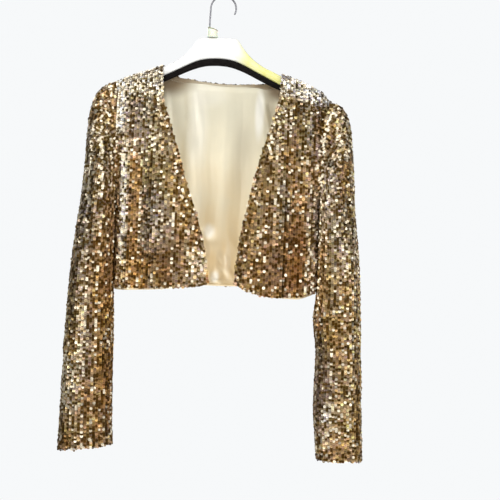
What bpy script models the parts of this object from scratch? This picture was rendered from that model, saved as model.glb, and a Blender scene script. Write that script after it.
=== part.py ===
"""Sequin blouse on a hanger: a cropped open jacket with long set-in sleeves.

The blouse hangs flat on a plastic hanger. Sizes and tables are in millimetres,
and MM turns them into metres. The origin is the inside top of the hook, where
the hanger hangs. +Z is up, the open front faces -Y, and the wearer's left
sleeve is on +X. "right" and "left" are the wearer's.
"""
import math

import bmesh
import bpy
import numpy as np

MM = 0.001

# Walls and clearances
SEAM_GAP = 0.3
ARMHOLE_GAP = 0.4
CLOTH = 2.0
SATIN = 1.2
LAYER_GAP = 0.4

# Body of the blouse
UNDERARM_Z = -338.0
ARM_ROWS = 13
RIDGE_TURN = 0.11
SIDE_ROWS = 5
FRONT_COLUMNS = 13
SHOULDER_COLUMNS = 7
NECK_COLUMNS = 10
NECK_RISE = 25.0
SIDE_CROWDING = 1.4
SECTION_POWER = 3.0
SECTION_ROOT = 0.42
ARMHOLE_BULGE = 0.3
ARMHOLE_ROUND = 150.0
BAND_HEIGHT_SHARE = 0.12
ARM_LINING_SHARE = 0.9
BAND_LENGTH = 190.0

FOLD_START = (-0.15, 0.45)
FOLD_CLEAR_OF_SIDE = (4.0, 26.0)

# Sleeves: at the underarm the seam laps over these heights above it
SLEEVE_LAP = 2.4
LAP_HEIGHTS = (6.0, 60.0)
SLEEVE_FLANK = (16.0, -8.0)
SLEEVE_UNDER = (0.2, -6.0)
CREASE_CLEAR_OF_BODY = (15.0, 50.0)
CAP_RINGS = 9
ARM_RINGS = 14
SLEEVE_SQUARENESS = 2.4

# Hanger
HANGER_X = -6.5
HANGER_THICKNESS = 11.0
HANGER_ROUNDING = 4.5
STRIP_THICKNESS = 10.0
STRIP_ROUNDING = 1.5
WIRE_RADIUS = 1.5
HOOK_RADIUS = 21.0
HOOK_OPENING = 28.0
CROOK_POINTS = 30
WIRE_STEM = ((-22.0, -66.0), (-22.0, -49.0), (-21.6, -34.0))
COLLAR_CENTRE_X = -16.5
COLLAR_RADIUS = 9.0
COLLAR_HEIGHT = 14.7
COLLAR_SLANT = 2.5
COLLAR_TAPER = 0.6
COLLAR_SIDES = 28


def table(columns, *rows):
    """Give each named column of a table of rows as an array."""
    return dict(zip(columns.split(), np.array(rows, dtype=float).T))


# Half widths of the body, from armhole to side seam and hem
OUTLINE = table(
    "z     right  left",
    (-140, 174, 188),
    (-165, 171, 181),
    (-190, 169.5, 175),
    (-230, 168.5, 172),
    (-338, 165.5, 171),
    (-420, 164.5, 171),
    (-500, 165, 172),
)

# Inner edges of the two fronts: the long V from neck to hem
V_EDGE = table(
    "z     right  left",
    (-118, -97, 103),
    (-176, -92, 97),
    (-217, -79, 86),
    (-266, -63, 72),
    (-316, -48, 60),
    (-365, -30, 49.5),
    (-407, -18, 42.5),
    (-457, -8, 37),
    (-500, -4, 34),
)

# Height of the hems along the body
HEM = table(
    "x     front  back",
    (-175, -490, -490),
    (-120, -489, -488),
    (-60, -486, -484),
    (-14, -481.5, -482),
    (-4, -476, -482),
    (34, -476, -482),
    (42, -481, -482),
    (62, -489, -482),
    (96, -496, -482),
    (135, -495, -483),
    (178, -483, -483),
)

# Top edge of the hanger's arms, measured outwards from the hanger's middle
HANGER_EDGE = table(
    "reach  top     under   strip",
    (0, -68.7, -103.7, -115.4),
    (14, -68.7, -104.5, -116.2),
    (28, -68.9, -107, -119),
    (34, -73, -109, -121),
    (41, -83, -112, -123.5),
    (51.5, -95.5, -117, -128),
    (64, -106.4, -123.5, -134),
    (79.5, -115.9, -131, -141.5),
    (91, -121, -136.8, -146.6),
    (107.5, -128.6, -144.6, -153.2),
    (145, -142, -157.5, -165),
    (166, -151, -165, -171.5),
    (174, -155.5, -167.3, -173),
    (178, -160, -166.5, -174),
)

# Height of the shoulder line over the arms, measured outwards in the same way
SHOULDER = table(
    "reach  ridge",
    (88, -117.6),
    (107.5, -126.3),
    (145, -139.6),
    (166, -148.6),
    (178, -154),
    (200, -164.5),
)

# Depth of the body from the plane of the hanger, by the drop below the shoulder
DEPTH = table(
    "drop  front  back",
    (0, 0, 0),
    (1.5, 5.4, 5.4),
    (4, 8.4, 8.4),
    (9, 11, 11),
    (20, 15.5, 15),
    (50, 25, 22),
    (100, 36, 31),
    (160, 43, 38),
    (240, 48, 42),
    (340, 50, 45),
    (420, 50, 45),
)

# Back neckline: its drop below the shoulder line, by the distance in from the neck point
NECKLINE = table(
    "inside  drop",
    (0, 0),
    (0.6, 0.65),
    (1.8, 2.6),
    (4.5, 8),
    (9, 14),
    (16, 20),
    (30, 28),
    (60, 39),
    (100, 45.5),
)
NECK_POINT_COLUMNS = 4

# Soft upright folds: where each starts and ends, how wide and how proud
FRONT_FOLDS = table(
    "top_x  hem_x  width  proud  top_z  hem_z",
    (-150, -146, 11, 2.5, -230, -500),
    (-124, -118, 13, -2.5, -210, -500),
    (-92, -84, 16, 2.5, -260, -500),
    (-60, -48, 14, -2.0, -320, -500),
    (108, 92, 15, 2.5, -250, -500),
    (132, 122, 12, -3.0, -230, -500),
    (152, 148, 11, 2.5, -240, -500),
    (84, 66, 12, -2.0, -330, -500),
)
BACK_FOLDS = table(
    "top_x  hem_x  width  proud  top_z  hem_z",
    (-122, -128, 16, 4.0, -220, -500),
    (-86, -92, 14, -3.0, -200, -500),
    (-52, -50, 13, -4.0, -170, -470),
    (-27, -26, 11, 3.5, -165, -480),
    (8, 6, 17, -4.0, -165, -500),
    (46, 44, 15, 4.0, -175, -480),
    (76, 84, 13, -3.5, -150, -440),
    (118, 126, 17, 4.0, -220, -500),
)

# Level rings down each sleeve: inner and outer reach, half depth, forward sway
RIGHT_SLEEVE = table(
    "z     inner  outer  half_depth  sway  tilt",
    (-352, 168.6, 224, 47, 0, 0),
    (-420, 168.2, 234, 44, 1, 0),
    (-490, 167.8, 240, 40, 3, 0),
    (-560, 165, 243, 36, 6, 0),
    (-650, 163, 245, 30, 9, 0),
    (-720, 161, 247, 25, 11, 3),
    (-755, 158, 248, 22, 12, 6),
)
LEFT_SLEEVE = table(
    "z     inner  outer  half_depth  sway  tilt",
    (-352, 174, 226, 47, 0, 0),
    (-420, 174.5, 236, 44, 1, 0),
    (-490, 174.8, 244, 40, 3, 0),
    (-530, 171.5, 247, 38, 4, 0),
    (-590, 177.5, 249.5, 34, 7, 0),
    (-670, 176.5, 253, 29, 9, 0),
    (-725, 181, 256, 25, 11, 0),
    (-761, 184, 258, 22, 12, 0),
)

# How the sleeve head leaves the shoulder: reach outwards, lift, pull down the arm
SLEEVE_HEADS = {
    "right": {"reach": 52.0, "lift": -8.0, "pull": 150.0},
    "left": {"reach": 39.0, "lift": -10.0, "pull": 140.0},
}

# Creases on the sleeves: height, angle round the ring, length and width of each
SLEEVE_CREASES = table(
    "z     turn   along  across  slope  proud",
    (-300, 62, 70, 15, 0.0, -4.0),
    (-330, 100, 60, 16, 0.0, 3.0),
    (-440, 80, 80, 15, 0.0, -3.5),
    (-520, 118, 60, 16, 0.0, 3.0),
    (-610, 70, 22, 60, 0.35, 3.0),
    (-640, 95, 12, 55, 0.35, -4.0),
    (-668, 80, 12, 55, 0.25, 3.0),
    (-300, 285, 80, 16, 0.0, -4.0),
    (-470, 260, 90, 15, 0.0, 3.5),
    (-560, 295, 70, 16, 0.0, -3.5),
    (-640, 270, 14, 60, -0.3, -3.5),
)

# Base colour, roughness and metallic value of each material
FINISHES = {
    "gold_sequins": ((0.30, 0.20, 0.10), 0.35, 0.8),
    "cream_satin": ((0.84, 0.76, 0.58), 0.4, 0.0),
    "taupe_band": ((0.45, 0.36, 0.25), 0.6, 0.0),
    "white_plastic": ((0.86, 0.86, 0.82), 0.2, 0.0),
    "black_strip": ((0.012, 0.008, 0.006), 0.45, 0.0),
    "chrome": ((0.72, 0.72, 0.74), 0.15, 1.0),
    "clear_collar": ((0.78, 0.80, 0.68), 0.3, 0.0),
}


def smooth(known, values, at):
    """Read a column at new places along a curve that never overshoots its points."""
    at = np.clip(at, known.min(), known.max())
    order = np.argsort(known)
    x, y = known[order], values[order]
    step = np.diff(x)
    rise = np.diff(y) / step
    slope = np.zeros(len(x))
    slope[0], slope[-1] = rise[0], rise[-1]
    same_way = rise[:-1] * rise[1:] > 0
    mean = 2 * rise[:-1] * rise[1:] / np.where(same_way, rise[:-1] + rise[1:], 1)
    slope[1:-1] = np.where(same_way, mean, 0)
    k = np.clip(np.searchsorted(x, at) - 1, 0, len(x) - 2)
    t = (at - x[k]) / step[k]
    start = y[k] * (1 + 2 * t) * (1 - t) ** 2 + slope[k] * step[k] * t * (1 - t) ** 2
    end = y[k + 1] * t * t * (3 - 2 * t) - slope[k + 1] * step[k] * t * t * (1 - t)
    return start + end


def ease(value, start, end):
    """Rise smoothly from 0 at start to 1 at end."""
    t = np.clip((value - start) / (end - start), 0, 1)
    return t * t * (3 - 2 * t)


def unit(vectors):
    """Bring vectors to length one."""
    return vectors / np.maximum(np.linalg.norm(vectors, axis=-1, keepdims=True), 1e-9)


def outline_x(side, z):
    """Distance of the armhole or side seam from the middle."""
    return smooth(OUTLINE["z"], OUTLINE[side], z)


def arm_ridge_z(x):
    """Height of the middle of the cloth where it lies over the hanger's arms."""
    return smooth(SHOULDER["reach"], SHOULDER["ridge"], np.abs(x - HANGER_X))


def ridge_z(x):
    """Height of the shoulder line, carried on in a low arch over the open neck."""
    right, left = V_EDGE["right"][0], V_EDGE["left"][0]
    share = np.clip((x - right) / (left - right), 0, 1)
    chord = arm_ridge_z(right) * (1 - share) + arm_ridge_z(left) * share
    in_neck = (x > right) & (x < left)
    return np.where(in_neck, chord + 4 * NECK_RISE * share * (1 - share), arm_ridge_z(x))


def body_depth(face, x, z):
    """Depth of the body: by the drop below the shoulder, closing in at its sides."""
    side = np.where(x > 0, outline_x("left", z), outline_x("right", z))
    above = np.clip((z - UNDERARM_Z) / ARMHOLE_ROUND, 0, 1)
    reach = side * (1 + ARMHOLE_BULGE * above)
    across = np.clip(1 - (np.abs(x) / reach) ** SECTION_POWER, 0, 1) ** SECTION_ROOT
    drop = np.clip(ridge_z(x) - z, 0, None)
    return smooth(DEPTH["drop"], DEPTH[face], drop) * across


def fold_depth(folds, x, z, side_gap):
    """Sum of the upright folds, dying away towards seams."""
    total = np.zeros_like(x)
    for k in range(len(folds["width"])):
        down = (z - folds["top_z"][k]) / (folds["hem_z"][k] - folds["top_z"][k])
        middle = folds["top_x"][k] + (folds["hem_x"][k] - folds["top_x"][k]) * np.clip(down, 0, 1)
        across = np.exp(-(((x - middle) / folds["width"][k]) ** 2))
        total += folds["proud"][k] * across * ease(down, *FOLD_START)
    return total * ease(side_gap, *FOLD_CLEAR_OF_SIDE)


def body_points(face, x, z, folds):
    """Points of the body's front or back at the places x, z."""
    side_gap = np.where(x > 0, outline_x("left", z), outline_x("right", z)) - np.abs(x)
    depth = SEAM_GAP / 2 + body_depth(face, x, z) + fold_depth(folds, x, z, side_gap)
    sign = -1 if face == "front" else 1
    return np.stack([x, sign * depth, z], axis=-1)


def arm_turns():
    """Angles round the front half of the armhole, from the shoulder to the underarm."""
    even = np.linspace(0, math.pi, ARM_ROWS)
    return np.insert(even, 1, RIDGE_TURN)


def body_rows(top_z, hem_z):
    """Heights of a panel's rows: close together at shoulder and underarm."""
    upper = top_z + (UNDERARM_Z - top_z) * (1 - np.cos(arm_turns()))[:, None] / 2
    below = np.linspace(0, 1, SIDE_ROWS + 1)[1:, None]
    lower = UNDERARM_Z + (hem_z - UNDERARM_Z) * below
    return np.vstack([upper, lower])


def front_grid(side):
    """Grid of a front's middle surface, from the V edge out to armhole and side."""
    sign = -1 if side == "right" else 1
    share = 1 - (1 - np.linspace(0, 1, FRONT_COLUMNS + 1)) ** SIDE_CROWDING
    neck_x = V_EDGE[side][0]
    tip_x = sign * OUTLINE[side][0]
    top_x = neck_x + (tip_x - neck_x) * share
    hem_inner = V_EDGE[side][-1]
    hem_outer = sign * outline_x(side, HEM["front"][0 if sign < 0 else -1])
    hem_x = hem_inner + (hem_outer - hem_inner) * share
    z = body_rows(ridge_z(top_x), smooth(HEM["x"], HEM["front"], hem_x))
    inner = smooth(V_EDGE["z"], V_EDGE[side], z)
    x = inner + (sign * outline_x(side, z) - inner) * share
    return body_points("front", x, z, FRONT_FOLDS)


def back_grid():
    """Grid of the back's middle surface, from side to side under the neckline."""
    crowd = 1 - (1 - np.linspace(0, 1, SHOULDER_COLUMNS + 1)) ** SIDE_CROWDING
    neck_right, neck_left = V_EDGE["right"][0], V_EDGE["left"][0]
    right = neck_right + (-OUTLINE["right"][0] - neck_right) * crowd
    left = neck_left + (OUTLINE["left"][0] - neck_left) * crowd
    first = NECKLINE["inside"][1:NECK_POINT_COLUMNS + 1]
    even = np.linspace(neck_right + first[-1], neck_left - first[-1], NECK_COLUMNS + 1)
    neck = np.concatenate([neck_right + first[:-1], even, neck_left - first[-2::-1]])
    top_x = np.concatenate([right[::-1], neck, left])
    share = (top_x - top_x[0]) / (top_x[-1] - top_x[0])
    inside = np.clip(np.minimum(top_x - neck_right, neck_left - top_x), 0, None)
    top_z = ridge_z(top_x) - smooth(NECKLINE["inside"], NECKLINE["drop"], inside)
    hem_x = HEM["x"][0] + (HEM["x"][-1] - HEM["x"][0]) * share
    z = body_rows(top_z, smooth(HEM["x"], HEM["back"], hem_x))
    x = -outline_x("right", z)
    x = x + (outline_x("left", z) - x) * share
    return body_points("back", x, z, BACK_FOLDS)


def grid_normals(grid, around):
    """Unit normals of a grid of points; around says that its columns close up."""
    if around:
        across = np.roll(grid, -1, axis=1) - np.roll(grid, 1, axis=1)
    else:
        across = np.gradient(grid, axis=1)
    return unit(np.cross(across, np.gradient(grid, axis=0)))


def lap_share(z):
    """How far a seam has turned from butted edges to lapped walls at the underarm."""
    return 1 - ease(z - UNDERARM_Z, *LAP_HEIGHTS)


def panel_normals(grid, outer_columns):
    """Normals of a panel, turned so that its seam edges face the next piece squarely."""
    normals = grid_normals(grid, around=False)
    if (normals[..., 1].mean() > 0) != (grid[..., 1].mean() > 0):
        normals = -normals
    on_seam = np.abs(grid[0, :, 1]) < SEAM_GAP
    normals[0, on_seam, 1] = 0
    normals[0, on_seam] = unit(normals[0, on_seam])
    for column in outer_columns:
        lap = lap_share(grid[:ARM_ROWS + 1, column, 2])
        normals[:ARM_ROWS + 1, column, 0] *= lap
        normals[ARM_ROWS:, column, 1] = 0
        normals[ARM_ROWS:, column] = unit(normals[ARM_ROWS:, column])
        normals[0, column] = (0, 0, 1)
    return normals


def sleeve_grid(side, front, back):
    """Grid of a sleeve's middle surface: rings from the armhole to the cuff.

    The first ring repeats the armhole edges of the front and back, moved out by
    the seam gap. Curves with two handles carry its points over the shoulder and
    round the underarm to the first level ring, and level rings go on down.
    """
    sign = -1 if side == "right" else 1
    rows = RIGHT_SLEEVE if side == "right" else LEFT_SLEEVE
    head = SLEEVE_HEADS[side]
    hole = np.vstack([front[:ARM_ROWS + 1], back[ARM_ROWS - 1:0:-1]])
    hole = hole.copy()
    hole[:, 0] += sign * (ARMHOLE_GAP + lap_share(hole[:, 2]) * SLEEVE_LAP)
    hole[0, 1] = 0
    hole[ARM_ROWS, 1] = 0
    turn = np.concatenate([arm_turns(), 2 * math.pi - arm_turns()[-2:0:-1]])
    level_z = np.linspace(rows["z"][0], rows["z"][-1], ARM_RINGS)
    level = np.stack([sleeve_ring(rows, sign, turn, z) for z in level_z])
    top_share = (1 + np.cos(turn))[:, None] / 2
    outwards = np.array([sign * head["reach"], 0, head["lift"]])
    flank = np.array([sign * SLEEVE_FLANK[0], 0, SLEEVE_FLANK[1]])
    downwards = np.array([sign * SLEEVE_UNDER[0], 0, SLEEVE_UNDER[1]])
    leave = np.where(
        top_share > 0.5,
        flank + (outwards - flank) * ease(top_share, 0.5, 1.0),
        downwards + (flank - downwards) * ease(top_share, 0.0, 0.5),
    )
    fall = (hole[:, 2] - rows["z"][0])[:, None]
    arrive = np.array([0, 0, 1.0]) * fall * head["pull"] / fall.max()
    along = np.linspace(0, 1, CAP_RINGS + 1)[:-1, None, None]
    cap = (
        hole * (1 - along) ** 3
        + (hole + leave) * 3 * along * (1 - along) ** 2
        + (level[0] + arrive) * 3 * along**2 * (1 - along)
        + level[0] * along**3
    )
    grid = np.concatenate([cap, level])
    return grid + sleeve_creases(grid, sign, turn)


def sleeve_ring(rows, sign, turn, z):
    """One level ring: a squared oval of the width and depth that the table gives."""
    inner = smooth(rows["z"], rows["inner"], z)
    outer = smooth(rows["z"], rows["outer"], z)
    half_depth = smooth(rows["z"], rows["half_depth"], z)
    sway = smooth(rows["z"], rows["sway"], z)
    tilt = smooth(rows["z"], rows["tilt"], z)
    power = 2 / SLEEVE_SQUARENESS
    across = np.sign(np.cos(turn)) * np.abs(np.cos(turn)) ** power
    deep = np.sign(np.sin(turn)) * np.abs(np.sin(turn)) ** power
    x = sign * ((inner + outer) / 2 + across * (outer - inner) / 2)
    y = -sway - deep * half_depth
    return np.stack([x, y, z - tilt * across], axis=-1)


def sleeve_creases(grid, sign, turn):
    """Move a sleeve's points along their normals by the creases of the table."""
    normals = grid_normals(grid, around=True)
    middle = grid.mean(axis=1, keepdims=True)
    outward = np.sum(normals * (grid - middle), axis=-1).mean() > 0
    normals = normals if outward else -normals
    degrees = np.degrees(turn)[None, :]
    height = grid[..., 2]
    amount = np.zeros_like(height)
    for k in range(len(SLEEVE_CREASES["z"])):
        crease = {name: column[k] for name, column in SLEEVE_CREASES.items()}
        off = (degrees - crease["turn"] + 180) % 360 - 180
        lean = height - crease["z"] - crease["slope"] * off * sign
        fade = (lean / crease["along"]) ** 2 + (off / crease["across"]) ** 2
        amount += crease["proud"] * np.exp(-fade)
    clear_of_body = ease(np.abs(180 - degrees), *CREASE_CLEAR_OF_BODY)
    clear_of_seam = ease(np.arange(len(grid))[:, None], 1, CAP_RINGS)
    return normals * (amount * clear_of_body * clear_of_seam)[..., None]


def sleeve_normals(grid, sign):
    """Normals of a sleeve, kept in the armhole's plane where it butts the body."""
    normals = grid_normals(grid, around=True)
    middle = grid.mean(axis=1, keepdims=True)
    if np.sum(normals * (grid - middle), axis=-1).mean() < 0:
        normals = -normals
    normals[0, :, 0] *= lap_share(grid[0, :, 2])
    normals[0, 0] = (0, 0, 1)
    normals[0, ARM_ROWS] = (-sign, 0, 0)
    return normals


def make_material(name):
    """Make the plain material of a finish, or fetch it when it is there."""
    material = bpy.data.materials.get(name)
    if material is None:
        colour, roughness, metallic = FINISHES[name]
        material = bpy.data.materials.new(name)
        material.use_nodes = True
        shader = material.node_tree.nodes["Principled BSDF"]
        shader.inputs["Base Color"].default_value = (*colour, 1)
        shader.inputs["Roughness"].default_value = roughness
        shader.inputs["Metallic"].default_value = metallic
        material.diffuse_color = (*colour, 1)
    return material


def add_object(name, mesh, finish, sharp_degrees=40):
    """Give a mesh its object, material and smooth shading."""
    mesh.materials.append(make_material(finish))
    mesh.shade_smooth()
    mesh.set_sharp_from_angle(angle=math.radians(sharp_degrees))
    piece = bpy.data.objects.new(name, mesh)
    bpy.context.scene.collection.objects.link(piece)
    return piece


def mesh_from(name, points, faces):
    """Make a mesh from points in millimetres, with its faces turned outwards."""
    mesh = bpy.data.meshes.new(name)
    mesh.from_pydata((points * MM).tolist(), [], faces)
    shape = bmesh.new()
    shape.from_mesh(mesh)
    bmesh.ops.recalc_face_normals(shape, faces=shape.faces)
    shape.to_mesh(mesh)
    shape.free()
    return mesh


def strip_faces(first, second, closed):
    """Quads between two matching lines of point numbers."""
    quads = list(zip(first[:-1], first[1:], second[1:], second[:-1]))
    if closed:
        quads.append((first[-1], first[0], second[0], second[-1]))
    return quads


def add_wall(name, grid, normals, thickness, finish, around=False):
    """Make a closed wall: the grid moved out and in by half its thickness."""
    rows, columns = grid.shape[:2]
    outer = grid + normals * thickness / 2
    inner = grid - normals * thickness / 2
    number = np.arange(rows * columns).reshape(rows, columns)
    layers = [number.tolist(), (number + rows * columns).tolist()]
    faces = []
    for layer in layers:
        for upper, lower in zip(layer[:-1], layer[1:]):
            faces += strip_faces(upper, lower, around)
    for row in (0, -1):
        faces += strip_faces(layers[0][row], layers[1][row], around)
    if not around:
        for column in (0, -1):
            first = [row[column] for row in layers[0]]
            second = [row[column] for row in layers[1]]
            faces += strip_faces(first, second, closed=False)
    points = np.concatenate([outer.reshape(-1, 3), inner.reshape(-1, 3)])
    return add_object(name, mesh_from(name, points, faces), finish)


def add_front(side):
    """Make one front, and give the armhole edge that its sleeve repeats."""
    grid = front_grid(side)
    normals = panel_normals(grid, outer_columns=(-1,))
    add_wall("front_" + side, grid, normals, CLOTH, "gold_sequins")
    return grid[:, -1]


def add_back():
    """Make the back with its lining and neck band, and give its two outer edges."""
    grid = back_grid()
    normals = panel_normals(grid, outer_columns=(0, -1))
    add_wall("back_panel", grid, normals, CLOTH, "gold_sequins")
    inset = (CLOTH + SATIN) / 2 + LAYER_GAP
    behind = grid - normals * inset
    middle = (V_EDGE["right"][0] + V_EDGE["left"][0]) / 2
    in_band = np.abs(grid[0, :, 0] - middle) < BAND_LENGTH / 2
    share = np.where(in_band, BAND_HEIGHT_SHARE, ARM_LINING_SHARE)[:, None]
    foot = behind[2] + (behind[3] - behind[2]) * share
    lining = np.concatenate([[foot + unit(behind[3] - foot) * LAYER_GAP], behind[3:]])
    add_wall("back_lining", lining[:, 1:-1], normals[2:, 1:-1], SATIN, "cream_satin")
    band = np.concatenate([behind[:3], [foot]])[:, in_band]
    add_wall("neck_band", band, normals[:4, in_band], SATIN, "taupe_band")
    return {"right": grid[:, 0], "left": grid[:, -1]}


def add_sleeve(side, front_edge, back_edge):
    """Make one sleeve from the edges of its armhole."""
    grid = sleeve_grid(side, front_edge, back_edge)
    normals = sleeve_normals(grid, -1 if side == "right" else 1)
    add_wall("sleeve_" + side, grid, normals, CLOTH, "gold_sequins", around=True)


def hanger_outline(upper, lower, inset, reaches):
    """Closed outline of the hanger or its strip, out along the top and back below."""
    top = smooth(HANGER_EDGE["reach"], HANGER_EDGE[upper], reaches) - inset
    under = smooth(HANGER_EDGE["reach"], HANGER_EDGE[lower], reaches) + inset
    x = np.concatenate([HANGER_X + reaches, (HANGER_X - reaches)[-1:0:-1]])
    upper_line = np.stack([x, np.concatenate([top, top[-1:0:-1]])], axis=-1)
    lower_line = np.stack([x, np.concatenate([under, under[-1:0:-1]])], axis=-1)
    order = np.argsort(x)
    return np.vstack([upper_line[order], lower_line[order][::-1]])


def add_slab(name, outline, thickness, rounding, finish):
    """Raise a flat outline to a slab with rounded long edges."""
    shape = bmesh.new()
    corners = [shape.verts.new((x * MM, -thickness / 2 * MM, z * MM)) for x, z in outline]
    face = shape.faces.new(corners)
    raised = bmesh.ops.extrude_face_region(shape, geom=[face])["geom"]
    moved = [item for item in raised if isinstance(item, bmesh.types.BMVert)]
    bmesh.ops.translate(shape, verts=moved, vec=(0, thickness * MM, 0))
    bmesh.ops.recalc_face_normals(shape, faces=shape.faces)
    long_edges = [
        edge for edge in shape.edges
        if abs(edge.verts[0].co.y - edge.verts[1].co.y) < SEAM_GAP * MM
    ]
    bmesh.ops.bevel(
        shape, geom=long_edges, offset=rounding * MM, segments=2, profile=0.5,
        affect="EDGES", clamp_overlap=True,
    )
    bmesh.ops.triangulate(shape, faces=shape.faces)
    mesh = bpy.data.meshes.new(name)
    shape.to_mesh(mesh)
    shape.free()
    return add_object(name, mesh, finish)


def add_hanger():
    """Make the hanger's arched body, the dark strip under it, and its collar."""
    reaches = HANGER_EDGE["reach"]
    body = hanger_outline("top", "under", 0, reaches)
    add_slab("hanger_body", body, HANGER_THICKNESS, HANGER_ROUNDING, "white_plastic")
    strip = hanger_outline("under", "strip", SEAM_GAP, reaches[:-1])
    add_slab("hanger_strip", strip, STRIP_THICKNESS, STRIP_ROUNDING, "black_strip")
    add_collar(HANGER_EDGE["top"][0] + SEAM_GAP)


def add_collar(foot_z):
    """Make the collar that holds the wire: a short tube with a slanted top."""
    turn = np.linspace(0, 2 * math.pi, COLLAR_SIDES, endpoint=False)
    bore = WIRE_RADIUS + SEAM_GAP
    lines = []
    for radius, centre, is_top in (
        (COLLAR_RADIUS, COLLAR_CENTRE_X, False),
        (COLLAR_RADIUS - COLLAR_TAPER, COLLAR_CENTRE_X, True),
        (bore, WIRE_STEM[0][0], True),
        (bore, WIRE_STEM[0][0], False),
    ):
        x = centre + radius * np.cos(turn)
        top = foot_z + COLLAR_HEIGHT - COLLAR_SLANT * (x - COLLAR_CENTRE_X) / COLLAR_RADIUS
        z = top if is_top else np.full_like(x, foot_z)
        lines.append(np.stack([x, radius * np.sin(turn), z], axis=-1))
    numbers = np.arange(4 * COLLAR_SIDES).reshape(4, COLLAR_SIDES).tolist()
    faces = []
    for first, second in zip(numbers, numbers[1:] + numbers[:1]):
        faces += strip_faces(first, second, closed=True)
    mesh = mesh_from("hanger_collar", np.vstack(lines), faces)
    add_object("hanger_collar", mesh, "clear_collar")


def add_hook():
    """Make the wire hook: a stem, then a round crook over the origin."""
    centre_z = -(HOOK_RADIUS - WIRE_RADIUS)
    angles = np.radians(np.linspace(180, -HOOK_OPENING, CROOK_POINTS))
    crook = [(HOOK_RADIUS * math.cos(a), centre_z + HOOK_RADIUS * math.sin(a)) for a in angles]
    curve = bpy.data.curves.new("hanger_hook", "CURVE")
    curve.dimensions = "3D"
    curve.bevel_depth = WIRE_RADIUS * MM
    curve.bevel_resolution = 3
    curve.use_fill_caps = True
    line = curve.splines.new("POLY")
    route = list(WIRE_STEM) + crook
    line.points.add(len(route) - 1)
    for point, (x, z) in zip(line.points, route):
        point.co = (x * MM, 0, z * MM, 1)
    curve.materials.append(make_material("chrome"))
    piece = bpy.data.objects.new("hanger_hook", curve)
    bpy.context.scene.collection.objects.link(piece)


def main():
    """Clear the scene and build the blouse on its hanger."""
    for old in list(bpy.data.objects):
        bpy.data.objects.remove(old, do_unlink=True)
    back_edges = add_back()
    for side in ("right", "left"):
        front_edge = add_front(side)
        add_sleeve(side, front_edge, back_edges[side])
    add_hanger()
    add_hook()


main()
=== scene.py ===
# %% [markdown]
# # A sequin blouse on its hanger
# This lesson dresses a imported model: a cropped, open blouse covered with sequins, hanging on a
# plastic hanger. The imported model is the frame. It says how big everything is and where it is,
# and this file adds what the eye sees: cloth, sequins, satin, plastic and wire.
# Everything is in one frame: +Z is up, the open front faces -Y, and the origin is the inside top
# of the hook. Tables below are in millimetres, and MM turns them into Blender's metres.

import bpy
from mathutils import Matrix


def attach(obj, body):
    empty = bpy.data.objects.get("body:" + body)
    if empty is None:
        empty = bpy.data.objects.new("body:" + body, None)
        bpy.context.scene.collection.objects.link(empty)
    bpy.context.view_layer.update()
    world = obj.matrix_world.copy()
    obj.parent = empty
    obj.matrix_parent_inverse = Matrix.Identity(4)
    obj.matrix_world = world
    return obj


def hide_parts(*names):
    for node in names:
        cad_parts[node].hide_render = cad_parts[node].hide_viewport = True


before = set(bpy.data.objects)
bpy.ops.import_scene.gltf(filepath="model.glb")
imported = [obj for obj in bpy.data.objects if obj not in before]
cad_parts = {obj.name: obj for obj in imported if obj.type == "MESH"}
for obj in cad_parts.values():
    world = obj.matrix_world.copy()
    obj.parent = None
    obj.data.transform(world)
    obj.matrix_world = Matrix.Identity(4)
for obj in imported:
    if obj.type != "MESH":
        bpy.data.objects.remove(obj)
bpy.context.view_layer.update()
print("nodes:", ", ".join(sorted(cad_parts)))

# %% Tools that every cell uses
import math

import bpy
import numpy as np
from mathutils import Matrix, Vector

MM = 0.001
SEED = 11
UP = np.array([0.0, 0.0, 1.0])
NO_LENGTH = 1e-9
WAVE_TERMS = 6
WAVE_STRETCH = (0.6, 1.7)
WAVE_BEND = 1.2


def table(columns, *rows):
    """Give each named column of a table of rows as an array."""
    return dict(zip(columns.split(), np.array(rows, dtype=float).T))


def rows_of(columns):
    """Give a table's rows one by one, each with its columns' names."""
    return [dict(zip(columns, row)) for row in zip(*columns.values())]


def smooth(columns, name, at):
    """Read a column of a table at new places on its first column.

    Between two rows runs a cubic whose slopes are the harmonic mean of the rises on both sides,
    and 0 where those rises differ in sign, so the curve never overshoots its points.
    """
    known = next(iter(columns.values()))
    at = np.clip(at, known.min(), known.max())
    order = np.argsort(known)
    x, y = known[order], columns[name][order]
    step = np.diff(x)
    rise = np.diff(y) / step
    slope = np.zeros(len(x))
    slope[0], slope[-1] = rise[0], rise[-1]
    same_way = rise[:-1] * rise[1:] > 0
    mean = 2 * rise[:-1] * rise[1:] / np.where(same_way, rise[:-1] + rise[1:], 1)
    slope[1:-1] = np.where(same_way, mean, 0)
    k = np.clip(np.searchsorted(x, at) - 1, 0, len(x) - 2)
    t = (at - x[k]) / step[k]
    start = y[k] * (1 + 2 * t) * (1 - t) ** 2 + slope[k] * step[k] * t * (1 - t) ** 2
    end = y[k + 1] * t * t * (3 - 2 * t) - slope[k + 1] * step[k] * t * t * (1 - t)
    return start + end


def ease(value, start, end):
    """Rise from 0 at start to 1 at end along t * t * (3 - 2 t)."""
    t = np.clip((value - start) / (end - start), 0, 1)
    return t * t * (3 - 2 * t)


def part_way(start, end, share):
    """Go from start to end by a share: start + (end - start) * share."""
    return start + (end - start) * share


def unit(vectors):
    """Divide each vector by its length."""
    return vectors / np.maximum(np.linalg.norm(vectors, axis=-1, keepdims=True), NO_LENGTH)


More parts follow.
